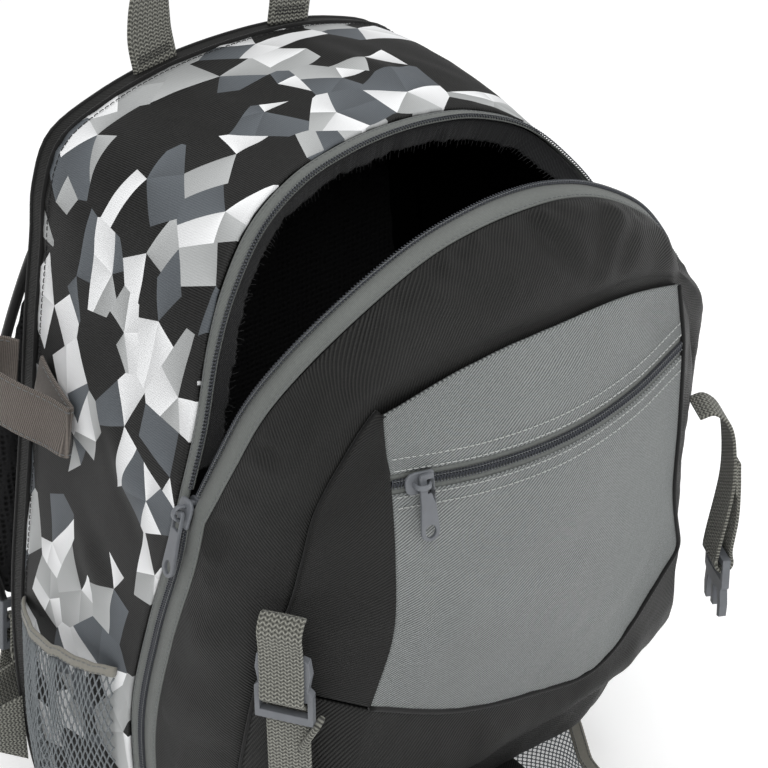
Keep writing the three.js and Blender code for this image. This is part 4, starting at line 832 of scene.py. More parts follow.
def plump(obj, cap, voxel):
    """Swells a closed shape as stuffed cloth, each point moving by at most cap mm."""
    remesh = obj.modifiers.new("remesh", "REMESH")
    remesh.mode = "VOXEL"
    remesh.voxel_size = voxel
    remesh.use_smooth_shade = True
    bake(obj)
    start = coords(obj)
    cloth_mod = obj.modifiers.new("cloth", "CLOTH")
    settings = cloth_mod.settings
    settings.quality = 4
    settings.use_pressure = True
    settings.uniform_pressure_force = CLOTH_PRESSURE
    settings.effector_weights.gravity = 0
    cloth_mod.collision_settings.use_collision = False
    cloth_mod.point_cache.frame_start = 1
    cloth_mod.point_cache.frame_end = CLOTH_FRAMES
    for frame_number in range(1, CLOTH_FRAMES + 1):
        bpy.context.scene.frame_set(frame_number)
    bake(obj)
    bpy.context.scene.frame_set(1)
    move = coords(obj) - start
    size = np.linalg.norm(move, axis=1, keepdims=True)
    set_coords(obj, start + move * np.minimum(1, cap * MM / np.maximum(size, 1e-9)))


def refine(obj):
    sub = obj.modifiers.new("subdivision", "SUBSURF")
    sub.levels = 1
    sub.render_levels = 1
    bake(obj)


def even_normals(obj):
    """Smooth shading that keeps flat faces flat."""
    obj.data.shade_smooth()
    smooth = obj.modifiers.new("normals", "WEIGHTED_NORMAL")
    smooth.keep_sharp = True
    bake(obj)


def hard_piece(node):
    """A moulded piece with the shape of a solid and its edges rounded."""
    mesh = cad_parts[node].data.copy()
    mesh.materials.clear()
    mesh.materials.append(PLASTIC)
    edit_mesh(mesh, merge=0.00001, dissolve=True)
    obj = bpy.data.objects.new(node + "_look", mesh)
    bpy.context.scene.collection.objects.link(obj)
    bevel = obj.modifiers.new("bevel", "BEVEL")
    bevel.width = 0.7 * MM
    bevel.segments = 2
    bevel.limit_method = "ANGLE"
    bevel.angle_limit = math.radians(32)
    bake(obj)
    even_normals(obj)
    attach(obj, BODY)
    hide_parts(node)


# The body of the bag
BAG_INSIDE = (0, BACK_REACH / 3, HEIGHT / 2)
GUSSET_FOLDS = [
    ((-136, 60, 330), (-128, -30, 318), 7, 2.2), ((-132, 20, 285), (-140, -40, 240), 8, 2.0),
    ((-110, 70, 372), (-118, -10, 345), 6, 1.8), ((-143, 60, 235), (-143, -6, 190), 9, 2.2),
    ((-60, 60, 392), (-40, -10, 390), 9, -1.8), ((20, 70, 396), (45, -20, 390), 8, 1.6),
    ((136, 50, 330), (128, -20, 300), 8, 2.0), ((142, 60, 240), (142, -10, 200), 9, -2.0),
]


def build_gusset():
    rows = np.linspace(0, LAST, 337)
    across = np.linspace(0, 1, 43)
    p = printed_point(rows[:, None], across[None, :])
    normal = outward(rows)[:, None, :]
    loose = np.sin(np.pi * across)[None, :] ** 0.5 * smoothstep(np.minimum(rows, LAST - rows), 0, 2)[:, None]
    relief = loose * (1.5 * rumple(p, 52, 3) + 0.4 * rumple(p, 17, 9) + folds(p, GUSSET_FOLDS))
    near_seam = np.minimum(across, 1 - across)[None, :] * 100
    pucker = 0.45 * lattice_noise(rows[:, None] * 5.2, np.ones_like(near_seam), 5) * np.exp(-near_seam / 6)
    p = p + normal * (relief + pucker)[..., None]
    finish_piece(sheet("printed_side", p, CLOTH_WALL, BAG_INSIDE, [PRINT, LINING_PAINTED_SHADE]), ["printed_gusset"])
    rows = np.linspace(0, LAST, 300)
    out = outward(rows)
    stitches("back_seam_stitches", printed_point(rows, 0.035) + out * 0.5, out, 2.3, 3.1, 0.26, THREAD_DARK)


FRONT_FOLDS = [
    ((112, -75, 330), (72, -112, 330), 8, 3.4), ((120, -60, 300), (100, -95, 265), 8, 2.8),
    ((92, -100, 352), (66, -112, 326), 6, -2.6), ((128, -50, 250), (112, -88, 190), 9, 2.4),
    ((-96, -92, 330), (-70, -112, 322), 6, 2.4), ((-118, -62, 290), (-92, -96, 255), 7, 2.2),
    ((-128, -50, 232), (-112, -84, 180), 8, -2.0), ((-60, -112, 372), (-30, -117, 350), 6, 2.0),
    ((0, -114, 378), (20, -118, 352), 6, -2.2), ((48, -112, 372), (30, -118, 350), 6, 2.4),
    ((-122, -56, 150), (-112, -76, 90), 9, 2.0), ((122, -56, 150), (112, -78, 80), 9, 2.2),
]


def build_front():
    rows = np.linspace(0, LAST, 337)
    start = across_at(rows, FRONT_SETBACK + 2 * GAP)
    b = np.linspace(0, 1, 61)
    across = start[:, None] + b[None, :] * (1 - start[:, None])
    p = front_point(rows[:, None], across)
    n = grid_normals(p, BAG_INSIDE)
    n[:, -1] = unit(n[:, -1] + n[::-1, -1])
    covered = (rows[:, None] > 3) & (rows[:, None] < LAST - 3) & (across > 0.47)
    loose = smoothstep(b, 0, 0.12)[None, :] * smoothstep(np.minimum(rows, LAST - rows), 0, 1.5)[:, None]
    loose = np.where(covered, 0.0, loose) * (1 - np.exp(-((across - 0.5) / 0.05) ** 2))
    relief = loose * (2.7 * rumple(p, 46, 21) + 0.6 * rumple(p, 15, 31) + 1.9 * folds(p, FRONT_FOLDS))
    gather = lattice_noise(rows[:, None] * 4.3 + 2 * across, across * 3, 8)
    from_edge = (across - start[:, None]) * 170
    pull = np.exp(-((from_edge - 9) / 9) ** 2) * smoothstep(from_edge, 0, 6)
    relief = relief + np.where(covered, 0, 1) * 2.0 * gather * pull
    p = p + n * relief[..., None]
    finish_piece(sheet("front_shell", p, CLOTH_WALL, BAG_INSIDE, [BLACK, LINING_PAINTED_SHADE], True), ["front_panel"])


def build_base():
    share = np.linspace(0, 1, 41)
    left = np.concatenate([printed_point(0, share), front_point(0, 0.1 + 0.4 * share)])
    columns = np.linspace(-1, 1, 61)
    p = np.stack([columns[None, :] * np.abs(left[:, None, 0]),
                  np.broadcast_to(left[:, None, 1], (len(left), 61)),
                  np.zeros((len(left), 61))], axis=-1)
    inner = (1 - columns[None, :] ** 4) * np.sin(np.pi * np.linspace(0, 1, len(left)))[:, None] ** 0.5
    p[..., 2] = 0.05 + 0.35 * inner * (1 + rumple(p, 30, 4)) * 0.5
    finish_piece(sheet("base_shell", p, 2.2, (0, 0, 60), [BLACK]), ["base_panel"])


def build_back():
    rows = np.linspace(0, LAST, 130)
    seam = back_seam(rows)
    middle = np.array([0, HEIGHT * 0.5])
    ring = seam[:, [0, 2]]
    ring = np.concatenate([[[ring[0][0], 0.3]], ring, [[ring[-1][0], 0.3]]])
    inset = ring + (middle - ring) * (3.0 / np.linalg.norm(middle - ring, axis=1, keepdims=True))
    inset[:, 1] = np.maximum(inset[:, 1], 2.0)
    count = len(inset)
    near, far = BACK_REACH + 2.2, BACK_REACH + PAD - 3.2
    verts = np.concatenate([np.column_stack([inset[:, 0], np.full(count, y), inset[:, 1]]) for y in (near,
                                                                                                     far)])
    faces = [tuple(range(count)), tuple(range(count, 2 * count))[::-1]]
    faces += [(k, (k + 1) % count, count + (k + 1) % count, count + k)[::-1] for k in range(count)]
    obj = new_object("back_pad", verts, faces, [AIR_MESH])
    plump(obj, 3.6, 0.0048)
    refine(obj)
    p = coords(obj) / MM
    depth_in = np.zeros(len(p))
    for x0 in (-44, 44):
        length = smoothstep(p[:, 2], 26, 44) * (1 - smoothstep(p[:, 2], 352, 372))
        depth_in += 4.2 * np.exp(-((p[:, 0] - x0) / 4.2) ** 2) * length
    for z0 in (92, 158, 224, 290):
        depth_in += 3.4 * np.exp(-((p[:, 2] - z0 - 0.0009 * p[:, 0] ** 2) / 4.0) ** 2) * (np.abs(p[:,
                                                                                                   0]) < 108)
    outer = smoothstep(p[:, 1], BACK_REACH + 5, BACK_REACH + 9)
    p[:, 1] -= np.minimum(depth_in, 4.6) * outer
    p[:, 1] = np.maximum(p[:, 1], BACK_REACH + 0.2)
    set_coords(obj, p * MM)
    finish_piece(obj, ["back_panel"])
    share = np.linspace(0.05, 1, 24)
    heart = np.array([0, BACK_REACH + 0.4, HEIGHT * 0.5])
    round_seam = np.concatenate([seam,
                                 [[x, BACK_REACH, 0.6] for x in np.linspace(seam[-1][0], seam[0][0], 20)]])
    lining = heart + (round_seam[:, None] + np.array([0, 0.4, 0]) - heart) * share[None, :, None]
    # The back's inner face, in the lining whose near-black colour is painted shade
    finish_piece(sheet("back_lining", lining, 0.5, (0, 300, 200), [LINING_PAINTED_SHADE]))
    back = np.linspace(0, 1, 9)
    wall = seam[:, None] + np.array([0, 1.0, 0]) * (0.4 + (PAD - 2.6) * back[None, :, None])
    wall = wall + outward(rows)[:, None] * (0.5 * np.sin(np.pi * back) - 0.4)[None, :, None]
    wall[..., 2] = np.maximum(wall[..., 2], 0.4)
    finish_piece(sheet("back_side_wall", wall, 1.2, BAG_INSIDE, [BLACK]))
    for name, back, out, low, radius in (("back_piping", 0.4, 0.2, 1.5, 1.15),
                                         ("back_rim_piping", PAD - 2.4, -0.9, 1.8, 1.5)):
        edge = seam + np.array([0, back, 0]) + outward(rows) * out
        edge[:, 2] = np.maximum(edge[:, 2], low)
        finish_piece(tubes(name, [edge], radius, PIPING, 8))


# The main fastener
COIL_PITCH, TURN_STEPS = 1.5, 9


def strip(name, front, start, end, near, far, low, high, replaced=()):
    """A flat tape beside the main chain, from near to far across and low to high in depth."""
    rows = np.linspace(start, end, max(int((end - start) * 24), 8))
    centre, width, normal = tape_frames(rows, front)
    soft = min(0.25, (high - low) / 3)
    section = [(near, low), ((near + far) / 2, low), (far - soft, low), (far, low + soft),
               (far, high - soft), (far - soft, high), ((near + far) / 2, high), (near, high)]
    finish_piece(swept(name, centre, width, normal, section, [TAPE_CLOTH]), replaced)


def coil_paths(centre, width, normal, middle, half, lift, rise, phase=0.0):
    """One coil of wire beside the middle of a chain."""
    length = run_lengths(centre)
    turns = int(length[-1] / COIL_PITCH)
    s = np.linspace(0, turns * COIL_PITCH, turns * TURN_STEPS + 1)
    at = lambda values: np.stack([np.interp(s, length, values[:, k]) for k in range(3)], axis=1)
    c, w, n = at(centre), at(width), at(normal)
    angle = 2 * math.pi * s / COIL_PITCH + phase
    lean = unit(np.gradient(c, axis=0)) * (0.35 * np.cos(angle))[:, None]
    return c + w * (middle + half * np.cos(angle))[:, None] + n * (lift + rise * np.sin(angle))[:,
                                                                                                None] + lean


def closed_chain(name, centre, width, normal, half, lift, rise, radius, replaced):
    """Both coils of a closed chain."""
    paths = [coil_paths(centre, width, normal, s * 0.75, half, lift, rise, (0 if s > 0 else math.pi))
             for s in (-1, 1)]
    finish_piece(tubes(name, paths, radius, COIL, 4), replaced)


def build_fastener():
    near = CHAIN_WIDTH / 2 + GAP
    for front, name, tape, tuck in ((False, "rear", REAR_TAPE, 0.5), (True, "front", FRONT_TAPE, 0.3)):
        far = CHAIN_WIDTH / 2 + tape
        strip(name + "_tape", front, 0, LAST, near - tuck, far, -TAPE, 0, [name + "_zip_tape"])
        strip(name + "_chain_bed", front, OPEN_START, LAST - OPEN_START, 0.5, near - 0.4, -0.8, -0.25)
        c, w, n = tape_frames(np.linspace(OPEN_START, LAST - OPEN_START, 600), front)
        coil = [coil_paths(c, w, n, 1.35, 0.95, 0.45, 0.52)]
        finish_piece(tubes(name + "_coil", coil, 0.34, COIL, 4), [name + "_zip_teeth"])
        c, w, n = tape_frames(np.linspace(0.3, LAST - 0.3, 700), front)
        stitches(name + "_tape_stitches", c + w * (far - 1.2) + n * 0.02, n, 1.9, 2.7, 0.2, THREAD_GREY)
        c, w, n = tape_frames(np.linspace(OPEN_START, LAST - OPEN_START, 900), front)
        stitches(name + "_coil_stitches", c + w * 1.75 + n * 1.0, n, 1.0, 1.5, 0.2, THREAD_GREY)
    for side, name in SIDES:
        c, w, n = tape_frames(on_side(side, np.linspace(0, SLIDER_ROW - SLIDER_HALF, 260)), False)
        closed_chain("closed_coil_" + name, c, w, n, 1.35, 0.35, 0.6, 0.34, ["closed_zip_" + name])
        section = [(-2.4, -1.0), (2.4, -1.0), (2.4, -0.3), (-2.4, -0.3)]
        finish_piece(swept("closed_bed_" + name, c, w, n, section, [TAPE_CLOTH]))
        for s in (-1, 1):
            stitches("chain_stitches_%s_%d" % (name, s + 1), c + w * (s * 1.55) + n * 0.93, n, 1.1, 1.5, 0.21,
                     THREAD_GREY)


def build_facing():
    rows = np.linspace(OPEN_START + 0.2, LAST - OPEN_START - 0.2, 560)
    c, w, n = tape_frames(rows, False)
    down = np.linspace(0, 1, 9)
    tear = 0.90 + 0.07 * lattice_noise(rows * 5, rows * 0, 2) + 0.05 * lattice_noise(rows * 31, rows * 0, 6)
    reach = 12 * np.clip(tear, 0.6, 1.05)
    sway = 0.8 * lattice_noise(rows * 3.1, rows * 0, 12)
    top = -TAPE - 2 * GAP
    across = (GAP + 2 + 0.4) + (2 + sway)[:, None] * down[None, :]
    p = (c[:, None] + w[:, None] * across[..., None]
         + n[:, None] * (top - reach[:, None] * down[None, :])[..., None])
    finish_piece(sheet("torn_facing", p, 0.5, BAG_INSIDE, [FACING]), ["rear_facing"])
    paths = []
    for k in range(4, len(rows) - 4, 4):
        wave = lattice_noise(np.array([k * 0.77]), np.array([0.3]), 15)[0]
        side = lattice_noise(np.array([k * 1.31]), np.array([2.3]), 16)[0]
        tip = p[k, -1]
        out = -n[k] * (2.4 + 1.8 * wave) + (c[min(k + 2, len(c) - 1)] - c[k - 2]) * 0.6 * side
        paths.append([tip + n[k] * 1.0, tip + out * 0.3, tip + out * 0.7 + w[k] * 0.5 * side,
                      tip + out + w[k] * side])
    finish_piece(tubes("facing_threads", paths, 0.13, FACING, 3))


# The front pocket
def face_frames(across):
    across = np.atleast_1d(np.asarray(across, float))
    centre = face_point(ZIP_ROW, across)
    width = unit(face_point(ZIP_ROW - 0.1, across) - face_point(ZIP_ROW + 0.1, across))
    after, before = np.minimum(across + 0.05, 1), np.maximum(across - 0.05, -1)
    ahead = face_point(ZIP_ROW, after) - face_point(ZIP_ROW, before)
    return centre, width, unit(np.cross(ahead, width))


FACE_INSET = 0.3 / (FACE_ROWS[ZIP_ROW][0] * HALF_WIDTH)
FACE_FOLDS = [
    ((-82, -130, 285), (-70, -128, 205), 7, 2.0), ((74, -128, 282), (84, -122, 200), 8, -2.2),
    ((-60, -136, 180), (10, -136, 150), 10, 2.0), ((20, -138, 160), (80, -126, 205), 9, 2.2),
    ((-30, -128, 322), (30, -130, 316), 8, 1.4), ((50, -124, 326), (78, -122, 306), 6, -1.6),
    ((-40, -138, 262), (50, -138, 252), 16, 1.4),
]


def build_pocket_face():
    half = POCKET_ZIP / 2
    inside = place(0, 0.5, 0.6)
    b = np.linspace(0, 1, 101)
    across = -1 + FACE_INSET + b * 2 * (1 - FACE_INSET)
    end = face_row_at(ZIP_ROW, 0, across, half + GAP)
    start = face_row_at(ZIP_ROW, len(FACE_ROWS) - 1, across, half + GAP)
    last = len(FACE_ROWS) - 1
    for name, count, row_of, node in (
            ("face_upper", 29, lambda a: a * end[None, :], "pocket_face_upper"),
            ("face_lower", 91, lambda a: start[None, :] + a * (last - start[None, :]), "pocket_face_lower")):
        a = np.linspace(0, 1, count)[:, None]
        rows = row_of(a)
        p = face_point(rows, np.broadcast_to(across[None, :], rows.shape))
        n = grid_normals(p, inside)
        rim = np.sin(np.pi * a) ** 0.4 * np.sin(np.pi * b)[None, :] ** 0.4
        relief = rim * (1.0 * rumple(p, 40, 41) + 0.3 * rumple(p, 13, 43) + folds(p, FACE_FOLDS))
        pucker = 0.3 * lattice_noise(b[None, :] * 42, a * 2, 51) * (1 - rim)
        obj = sheet(name, p + n * (relief + pucker)[..., None], POCKET_WALL, inside, [GREY, LINING_PAINTED_SHADE])
        finish_piece(obj, [node])

    centre, width, normal = face_frames(np.linspace(across[0], across[-1], 260))
    for s, name in ((-1, "low"), (1, "high")):
        section = [(s * 1.2, -1.5), (s * (half + 1.2), -1.5), (s * (half + 1.2), -0.85), (s * 1.2, -0.85)]
        finish_piece(swept("pocket_tape_" + name, centre, width, normal, section, [TAPE_CLOTH]))
    closed_chain("pocket_coil", centre, width, normal, 1.3, -0.2, 0.45, 0.32, ["pocket_zip"])
    for s in (-1, 1):
        stitches("pocket_chain_stitches_%d" % (s + 1), centre + width * (s * 1.5) + normal * 0.32, normal,
                 1.1, 1.5,
                 0.2, THREAD_GREY)
        for away in (1.6, 6.8):
            rows = face_row_at(ZIP_ROW, 0 if s > 0 else last, across, half + away)
            line = face_point(rows, across)
            rise = normal[np.linspace(0, len(normal) - 1, len(line)).astype(int)]
            stitches("face_stitches_%d_%d" % (s + 1, away * 10), line + rise * 0.4, rise, 2.1, 2.9, 0.28,
                     THREAD_LIGHT)


def build_pocket_sides():
    inside = place(0, 0.5, 0.6)
    for side, name in SIDES:
        a = np.linspace(0, 1, 81)
        b = np.linspace(0, 1, 21)
        rows = FACE_TOP_ARCH + a * (BAND_TOP + GAP / ROW_LENGTH - FACE_TOP_ARCH)
        foot = pocket_foot(on_side(side, rows))
        edge = face_point(FACE_TOP_ARCH - rows, side)
        p = foot[:, None] + (edge - foot)[:, None] * b[None, :, None]
        n = grid_normals(p, inside)
        loose = np.sin(np.pi * b)[None, :] ** 0.6
        relief = loose * (1.2 * rumple(p, 30, 61) + 0.5 * rumple(p, 11, 63))
        obj = sheet("pocket_gusset_" + name, p + n * relief[..., None], POCKET_WALL, inside, [BLACK, LINING_PAINTED_SHADE])
        finish_piece(obj, ["pocket_side_" + name])

    d, c = np.linspace(0, 1, 45)[:, None], np.linspace(0, 1, 141)[None, :]
    p = band_point(d, c)
    n = grid_normals(p, inside)
    loose = np.sin(np.pi * d) ** 0.6 * np.sin(np.pi * c) ** 0.4
    relief = loose * (1.6 * rumple(p, 34, 71) + 0.5 * rumple(p, 12, 73))
    obj = sheet("pocket_underside", p + n * relief[..., None], POCKET_WALL, inside, [BLACK, LINING_PAINTED_SHADE])
    finish_piece(obj, ["pocket_band"])

    right = face_point(np.linspace(0, 5, 90), 1)
    bottom = face_point(5, np.linspace(-1, 1, 90))
    outline = resample(np.concatenate([bottom[:-2], right[::-1]]), 3)[0]
    soften(outline, 4)
    finish_piece(tubes("pocket_piping", [outline], 1.3, PIPING, 8))
    rows = np.linspace(BAND_FOOT, FACE_TOP_ARCH, 120)
    for side, name in SIDES:
        r = on_side(side, rows)
        line = front_point(r, 0.5) + front_normal(r, 0.5) * 1.0
        finish_piece(tubes("shoulder_piping_" + name, [line], 0.9, PIPING, 7))


# Straps and loops
def band(name, centre, width, normal, wide, thick, material, replaced=(), scale=None):
    finish_piece(swept(name, centre, width, normal, band_section(wide, thick), [material], scale), replaced)


def edge_stitches(name, centre, width, normal, wide, lift, material, pitch=3.0):
    paths = []
    for s in (-1, 1):
        paths += stitch_line(centre + width * (s * wide) + normal * lift, normal * np.sign(lift), 2.0, pitch)
    finish_piece(tubes(name, paths, 0.24, material, 4))


def bar_tack(name, centre, width, normal, along_way, wide, rows):
    """A block of close stitches that holds a strap."""
    paths = []
    for k in range(rows):
        base = centre + along_way * (k - (rows - 1) / 2) * 1.5
        line = np.array([base - width * wide / 2, base + width * wide / 2])
        line = resample(line, 1.0)[0] + normal * 0.1
        paths += stitch_line(line, normal, 1.5, 1.9, 0.26)
    finish_piece(tubes(name, paths, 0.26, THREAD_DARK, 4))


def build_bat_loops():
    for side, name in SIDES:
        points = []
        for row, across, stand_off in BAT_LOOP:
            r = on_side(side, row)
            points.append(printed_point(r, across) + outward(r)[0] * stand_off)
        out = outward(on_side(side, BAT_LOOP[0][0]))[0]
        up = np.array([-out[2] * side, 0, abs(out[0])])
        centre, width, normal, _ = route_frames(points, 150, up)
        band("bat_band_" + name, centre, width, normal, LOOP, WEB, TAUPE, ["bat_loop_" + name])
        for s in (-1, 1):
            edge_stitches("bat_stitches_%s_%d" % (name, s + 1), centre[3:-3], width[3:-3], normal[3:-3],
                          LOOP / 2 - 1.8, s * 0.95, THREAD_GREY)


def frame_at(centre, normal, up):
    """A local frame for a buckle or a strap's root."""
    width = unit(np.cross(up, normal))
    return {"centre": centre, "width": width, "normal": normal, "up": np.cross(normal, width)}


def in_frame(f, at):
    return f["centre"] + f["up"] * at[0] + f["normal"] * at[1]


PLUG_SLOT, PLUG_THICKNESS = 8.0, 4.0
LOCK_THICKNESS, LOCK_BAR, LOCK_SLOT = 5.0, 4.0, 7.0


def build_front_straps():
    off = PLUG_THICKNESS / 2 + GAP + WEB / 2
    edge, clear = PLUG_SLOT / 2, off + 2 * GAP
    for side, name in SIDES:
        normal = unit(np.array([side * 0.86, -0.5, 0]))
        root = pocket_foot(on_side(side, 6))[0]
        anchor = frame_at(root, normal, np.array([0, 0, 1.0]))
        if side < 0:
            upper = [(0, 3.2), (2.4, 8), (-3, 12.4), (-13, 11.5)]
            slot_at, lean = (-42, 8), np.array([0, 0, 1.0])
            through = [(14, off), (edge + 1, clear), (edge * 0.55, off * 0.83), (0, 0),
                       (-edge * 0.55, -off * 0.83),
                       (-edge - 1, -clear), (-14, -off), (-60, -off - 1), (-104, -off + 1)]
            tail = []
        else:
            upper = [(0, 2.6), (1.4, 10), (-6, 17.5), (-20, 21), (-44, 22)]
            slot_at, lean = (-90, 21), unit(np.array([-0.16, 0.02, -1.0]))
            through = [(-12, -off), (-edge, -clear), (-edge * 0.22, -off * 0.62), (0, 0),
                       (-edge * 0.22, off * 0.62),
                       (-edge, clear), (-12, off)]
            tail = [(-60, 25.5), (-44, 25.2), (-28, 24)]
        plug = frame_at(in_frame(anchor, slot_at), normal, lean)
        route = [in_frame(anchor, at) for at in upper] + [in_frame(plug, at) for at in through]
        route += [in_frame(anchor, at) for at in tail]
        centre, width, band_normal, tangent = route_frames(route, 260, anchor["width"])
        t = np.linspace(0, 1, len(centre))
        taper = np.clip(0.25 + t / 0.07, 0.25, 1) if side < 0 else np.ones(len(centre))
        band("front_webbing_" + name, centre, width, band_normal, FRONT_WEB, WEB, WEBBING, ["strap_" + name],
             taper)
        if side < 0:
            low = in_frame(plug, (-24, -4)) + plug["width"] * 6
            high = in_frame(plug, (-8, -2)) + plug["width"] * 14.5
            tail_path = spline([low, (low + high) / 2 + plug["normal"] * 0.6, high], np.linspace(0, 1, 16))
            along_tail = unit(high - low)
            across_tail = np.broadcast_to(plug["normal"], tail_path.shape)
            facing = np.broadcast_to(np.cross(along_tail, plug["normal"]), tail_path.shape)
            band("front_tail_left", tail_path, across_tail, facing, 9, 3.0, WEBBING)
        end = slice(-22, None) if side > 0 else slice(-14, None)
        band("front_hem_" + name, centre[end] + band_normal[end] * 1.2, width[end], band_normal[end],
             FRONT_WEB - 0.6, 1.1, WEBBING)
        bar_tack("front_tack_" + name, centre[-10] + band_normal[-10] * 1.9, width[-10], band_normal[-10],
                 tangent[-10], FRONT_WEB - 4, 2)


def build_shoulders():
    pad_back = BACK_REACH + PAD
    for side, name in SIDES:
        points = np.array([[-side * r[0] * HALF_WIDTH, pad_back + r[1],
                            FLOOR_TOP + r[2] * (HEIGHT - FLOOR_TOP)]
                           for r in SHOULDER])
        turned = np.array([1, 0, side * 0.25])
        centre, width, normal, tangent = route_frames(points, 90, [1, 0, 0], turned)
        wide = np.interp(np.linspace(0, len(SHOULDER) - 1, 91), np.arange(len(SHOULDER)),
                         [r[3] for r in SHOULDER])
        half, soft = 31.0 - 2.2, 4.5 - 1.6
        section = [(-half, -soft * 0.4), (-half + 4, -soft), (0, -soft - 0.4), (half - 4, -soft),
                   (half, -soft * 0.4),
                   (half, soft * 0.4), (half - 4, soft), (0, soft + 0.4), (-half + 4, soft), (-half,
                                                                                              soft * 0.4)]
        pad = swept("shoulder_pad_" + name, centre, width, normal, section, [AIR_MESH], wide=wide)
        plump(pad, 2.2, 0.004)
        refine(pad)
        finish_piece(pad, ["shoulder_strap_" + name])
        for s in (-1, 1):
            rim = centre + width * (s * (31.0 - 1.2) * wide)[:, None]
            section = [(-1.6, -2.3), (1.2, -2.3), (1.8, 0), (1.2, 2.3), (-1.6, 2.3)]
            section = [(x * s, y) for x, y in section]
            finish_piece(swept("shoulder_rim_%s_%d" % (name, s + 1), rim, width, normal, section, [PIPING]))

        end, high = -1, 1.5 * LOCK_BAR + LOCK_SLOT
        out = normal[end] * np.sign(normal[end][1])
        lock = frame_at(centre[end] + tangent[end] * (high + 2 * GAP), out, -tangent[end])
        tab_row = on_side(side, 2.6)
        root = back_seam(tab_row)[0] + outward(tab_row)[0] * 6 * GAP + np.array([0, PAD / 2, 0])
        outwards = unit(np.array([side * 0.86, 0.5, 0]))
        apex = root + outwards * 16
        facing = np.cross(outwards, [0, 0, 1.0])
        t = np.linspace(0, 1, 14)[:, None]
        tab_wide = 1 + (SHOULDER_WEB / 40 - 1) * t[:, 0]
        band("tab_" + name, root + (apex - root) * t, np.broadcast_to([0, 0, 1.0], (14, 3)),
             np.broadcast_to(facing, (14, 3)), 40, WEB, WEBBING, ["anchor_tab_" + name], tab_wide)
        off, turn = LOCK_THICKNESS / 2 + GAP + WEB / 2, LOCK_BAR / 2
        route = [apex + outwards * k * GAP for k in (10, 15, 21)]
        route.append(apex + outwards * 8 + np.array([-side * 3, 10, 6]))
        route += [in_frame(lock, at) for at in (
            (-26, -off), (-12, -off), (turn + 0.4, -off), (turn + 2.2, -off * 0.6), (turn + 2.9, 0),
            (turn + 2.2, off * 0.6), (turn + 0.4, off), (-12, off), (-34, off + 5), (-58, off + 3))]
        c, w, n, _ = route_frames(route, 260, [0, 0, 1], -side * lock["width"], 0.28)
        band("lower_webbing_" + name, c, w, n, SHOULDER_WEB, WEB, WEBBING, ["shoulder_webbing_" + name])
        bar_tack("tab_tack_" + name, root + outwards * 4 + facing * 1.0, np.array([0, 0, 1.0]), facing,
                 outwards,
                 34, 3)


def build_handle():
    span, rise = 38.0, 60.0
    foot = back_seam(TOP + span / (ARCH_ROWS[-2][0] * HALF_WIDTH))[0][2] + GAP / 2
    bow = ((1, 0), (1.06, 0.30), (0.98, 0.66), (0.66, 0.92), (0.25, 1))
    half = [(out * span, foot + up * rise) for out, up in bow]
    y = BACK_REACH + PAD / 2
    points = np.array([(-x, y, z) for x, z in half] + [(x, y, z) for x, z in half[::-1]])
    t = np.linspace(0, 1, 161)
    centre = spline(points, t)
    tangent = spline_tangent(points, t)
    turn = np.pi * smoothstep(t, 0.05, 0.95)
    width = square_to(np.stack([np.cos(turn), np.sin(turn), np.zeros(len(t))], axis=1), tangent)
    normal = np.cross(tangent, width)
    band("handle_webbing", centre, width, normal, HANDLE, WEB, WEBBING, ["grab_handle"])
    for k, name in ((6, "left"), (-7, "right")):
        for s in (-1, 1):
            bar_tack("handle_tack_%s_%d" % (name, s + 1), centre[k] + normal[k] * (s * 1.0), width[k],
                     normal[k] * s,
                     tangent[k], HANDLE - 4, 3)


# Nets
def net_paths(surface, cells_u, cells_v):
    """Both diagonals of a net over surface(u, v), each from 0 to 1."""
    paths = []
    for direction in (1, -1):
        for k in range(-cells_u, cells_v + 1):
            first, last = max(0, -k), min(cells_u, cells_v - k)
            if last - first < 1:
                continue
            s = np.linspace(first, last, (last - first) * 4 + 1)
            u, v = s / cells_u, (s + k) / cells_v
            if direction < 0:
                v = 1 - v
            paths.append(surface(u, v))
    return paths


def knotted(n):
    """Radius of a strand with a knot at each crossing."""
    return np.where(np.arange(n) % 2 == 0, 0.62, 0.36)


def net_object(name, paths, scale=1.0):
    verts, faces, uvs, base = [], [], [], 0
    for path in paths:
        v, f, uv = tube([path], knotted(len(path)) * scale, 4)
        verts.append(v)
        uvs.append(uv)
        faces += [tuple(i + base for i in face) for face in f]
        base += len(v)
    return new_object(name, np.concatenate(verts), faces, [NET], np.concatenate(uvs))


def net_top_at(across):
    return NET_TOP + NET_SLANT * (across - 0.5)


def net_lift(row, across, seed):
    wave = np.sin(2 * math.pi * (across * 4.2 + 0.5 * np.sin(row * 1.3 + seed)))
    ridge = 3.2 * np.exp(-((across - 0.42 - 0.10 * (NET_TOP - row)) / 0.05) ** 2)
    fade = smoothstep(NET_TOP - row, 0.05, 1.1) * np.sin(np.pi * np.clip(across, 0, 1)) ** 0.5
    return fade * (1.5 * wave + ridge + 0.8 * lattice_noise(across * 9, row * 2, seed))


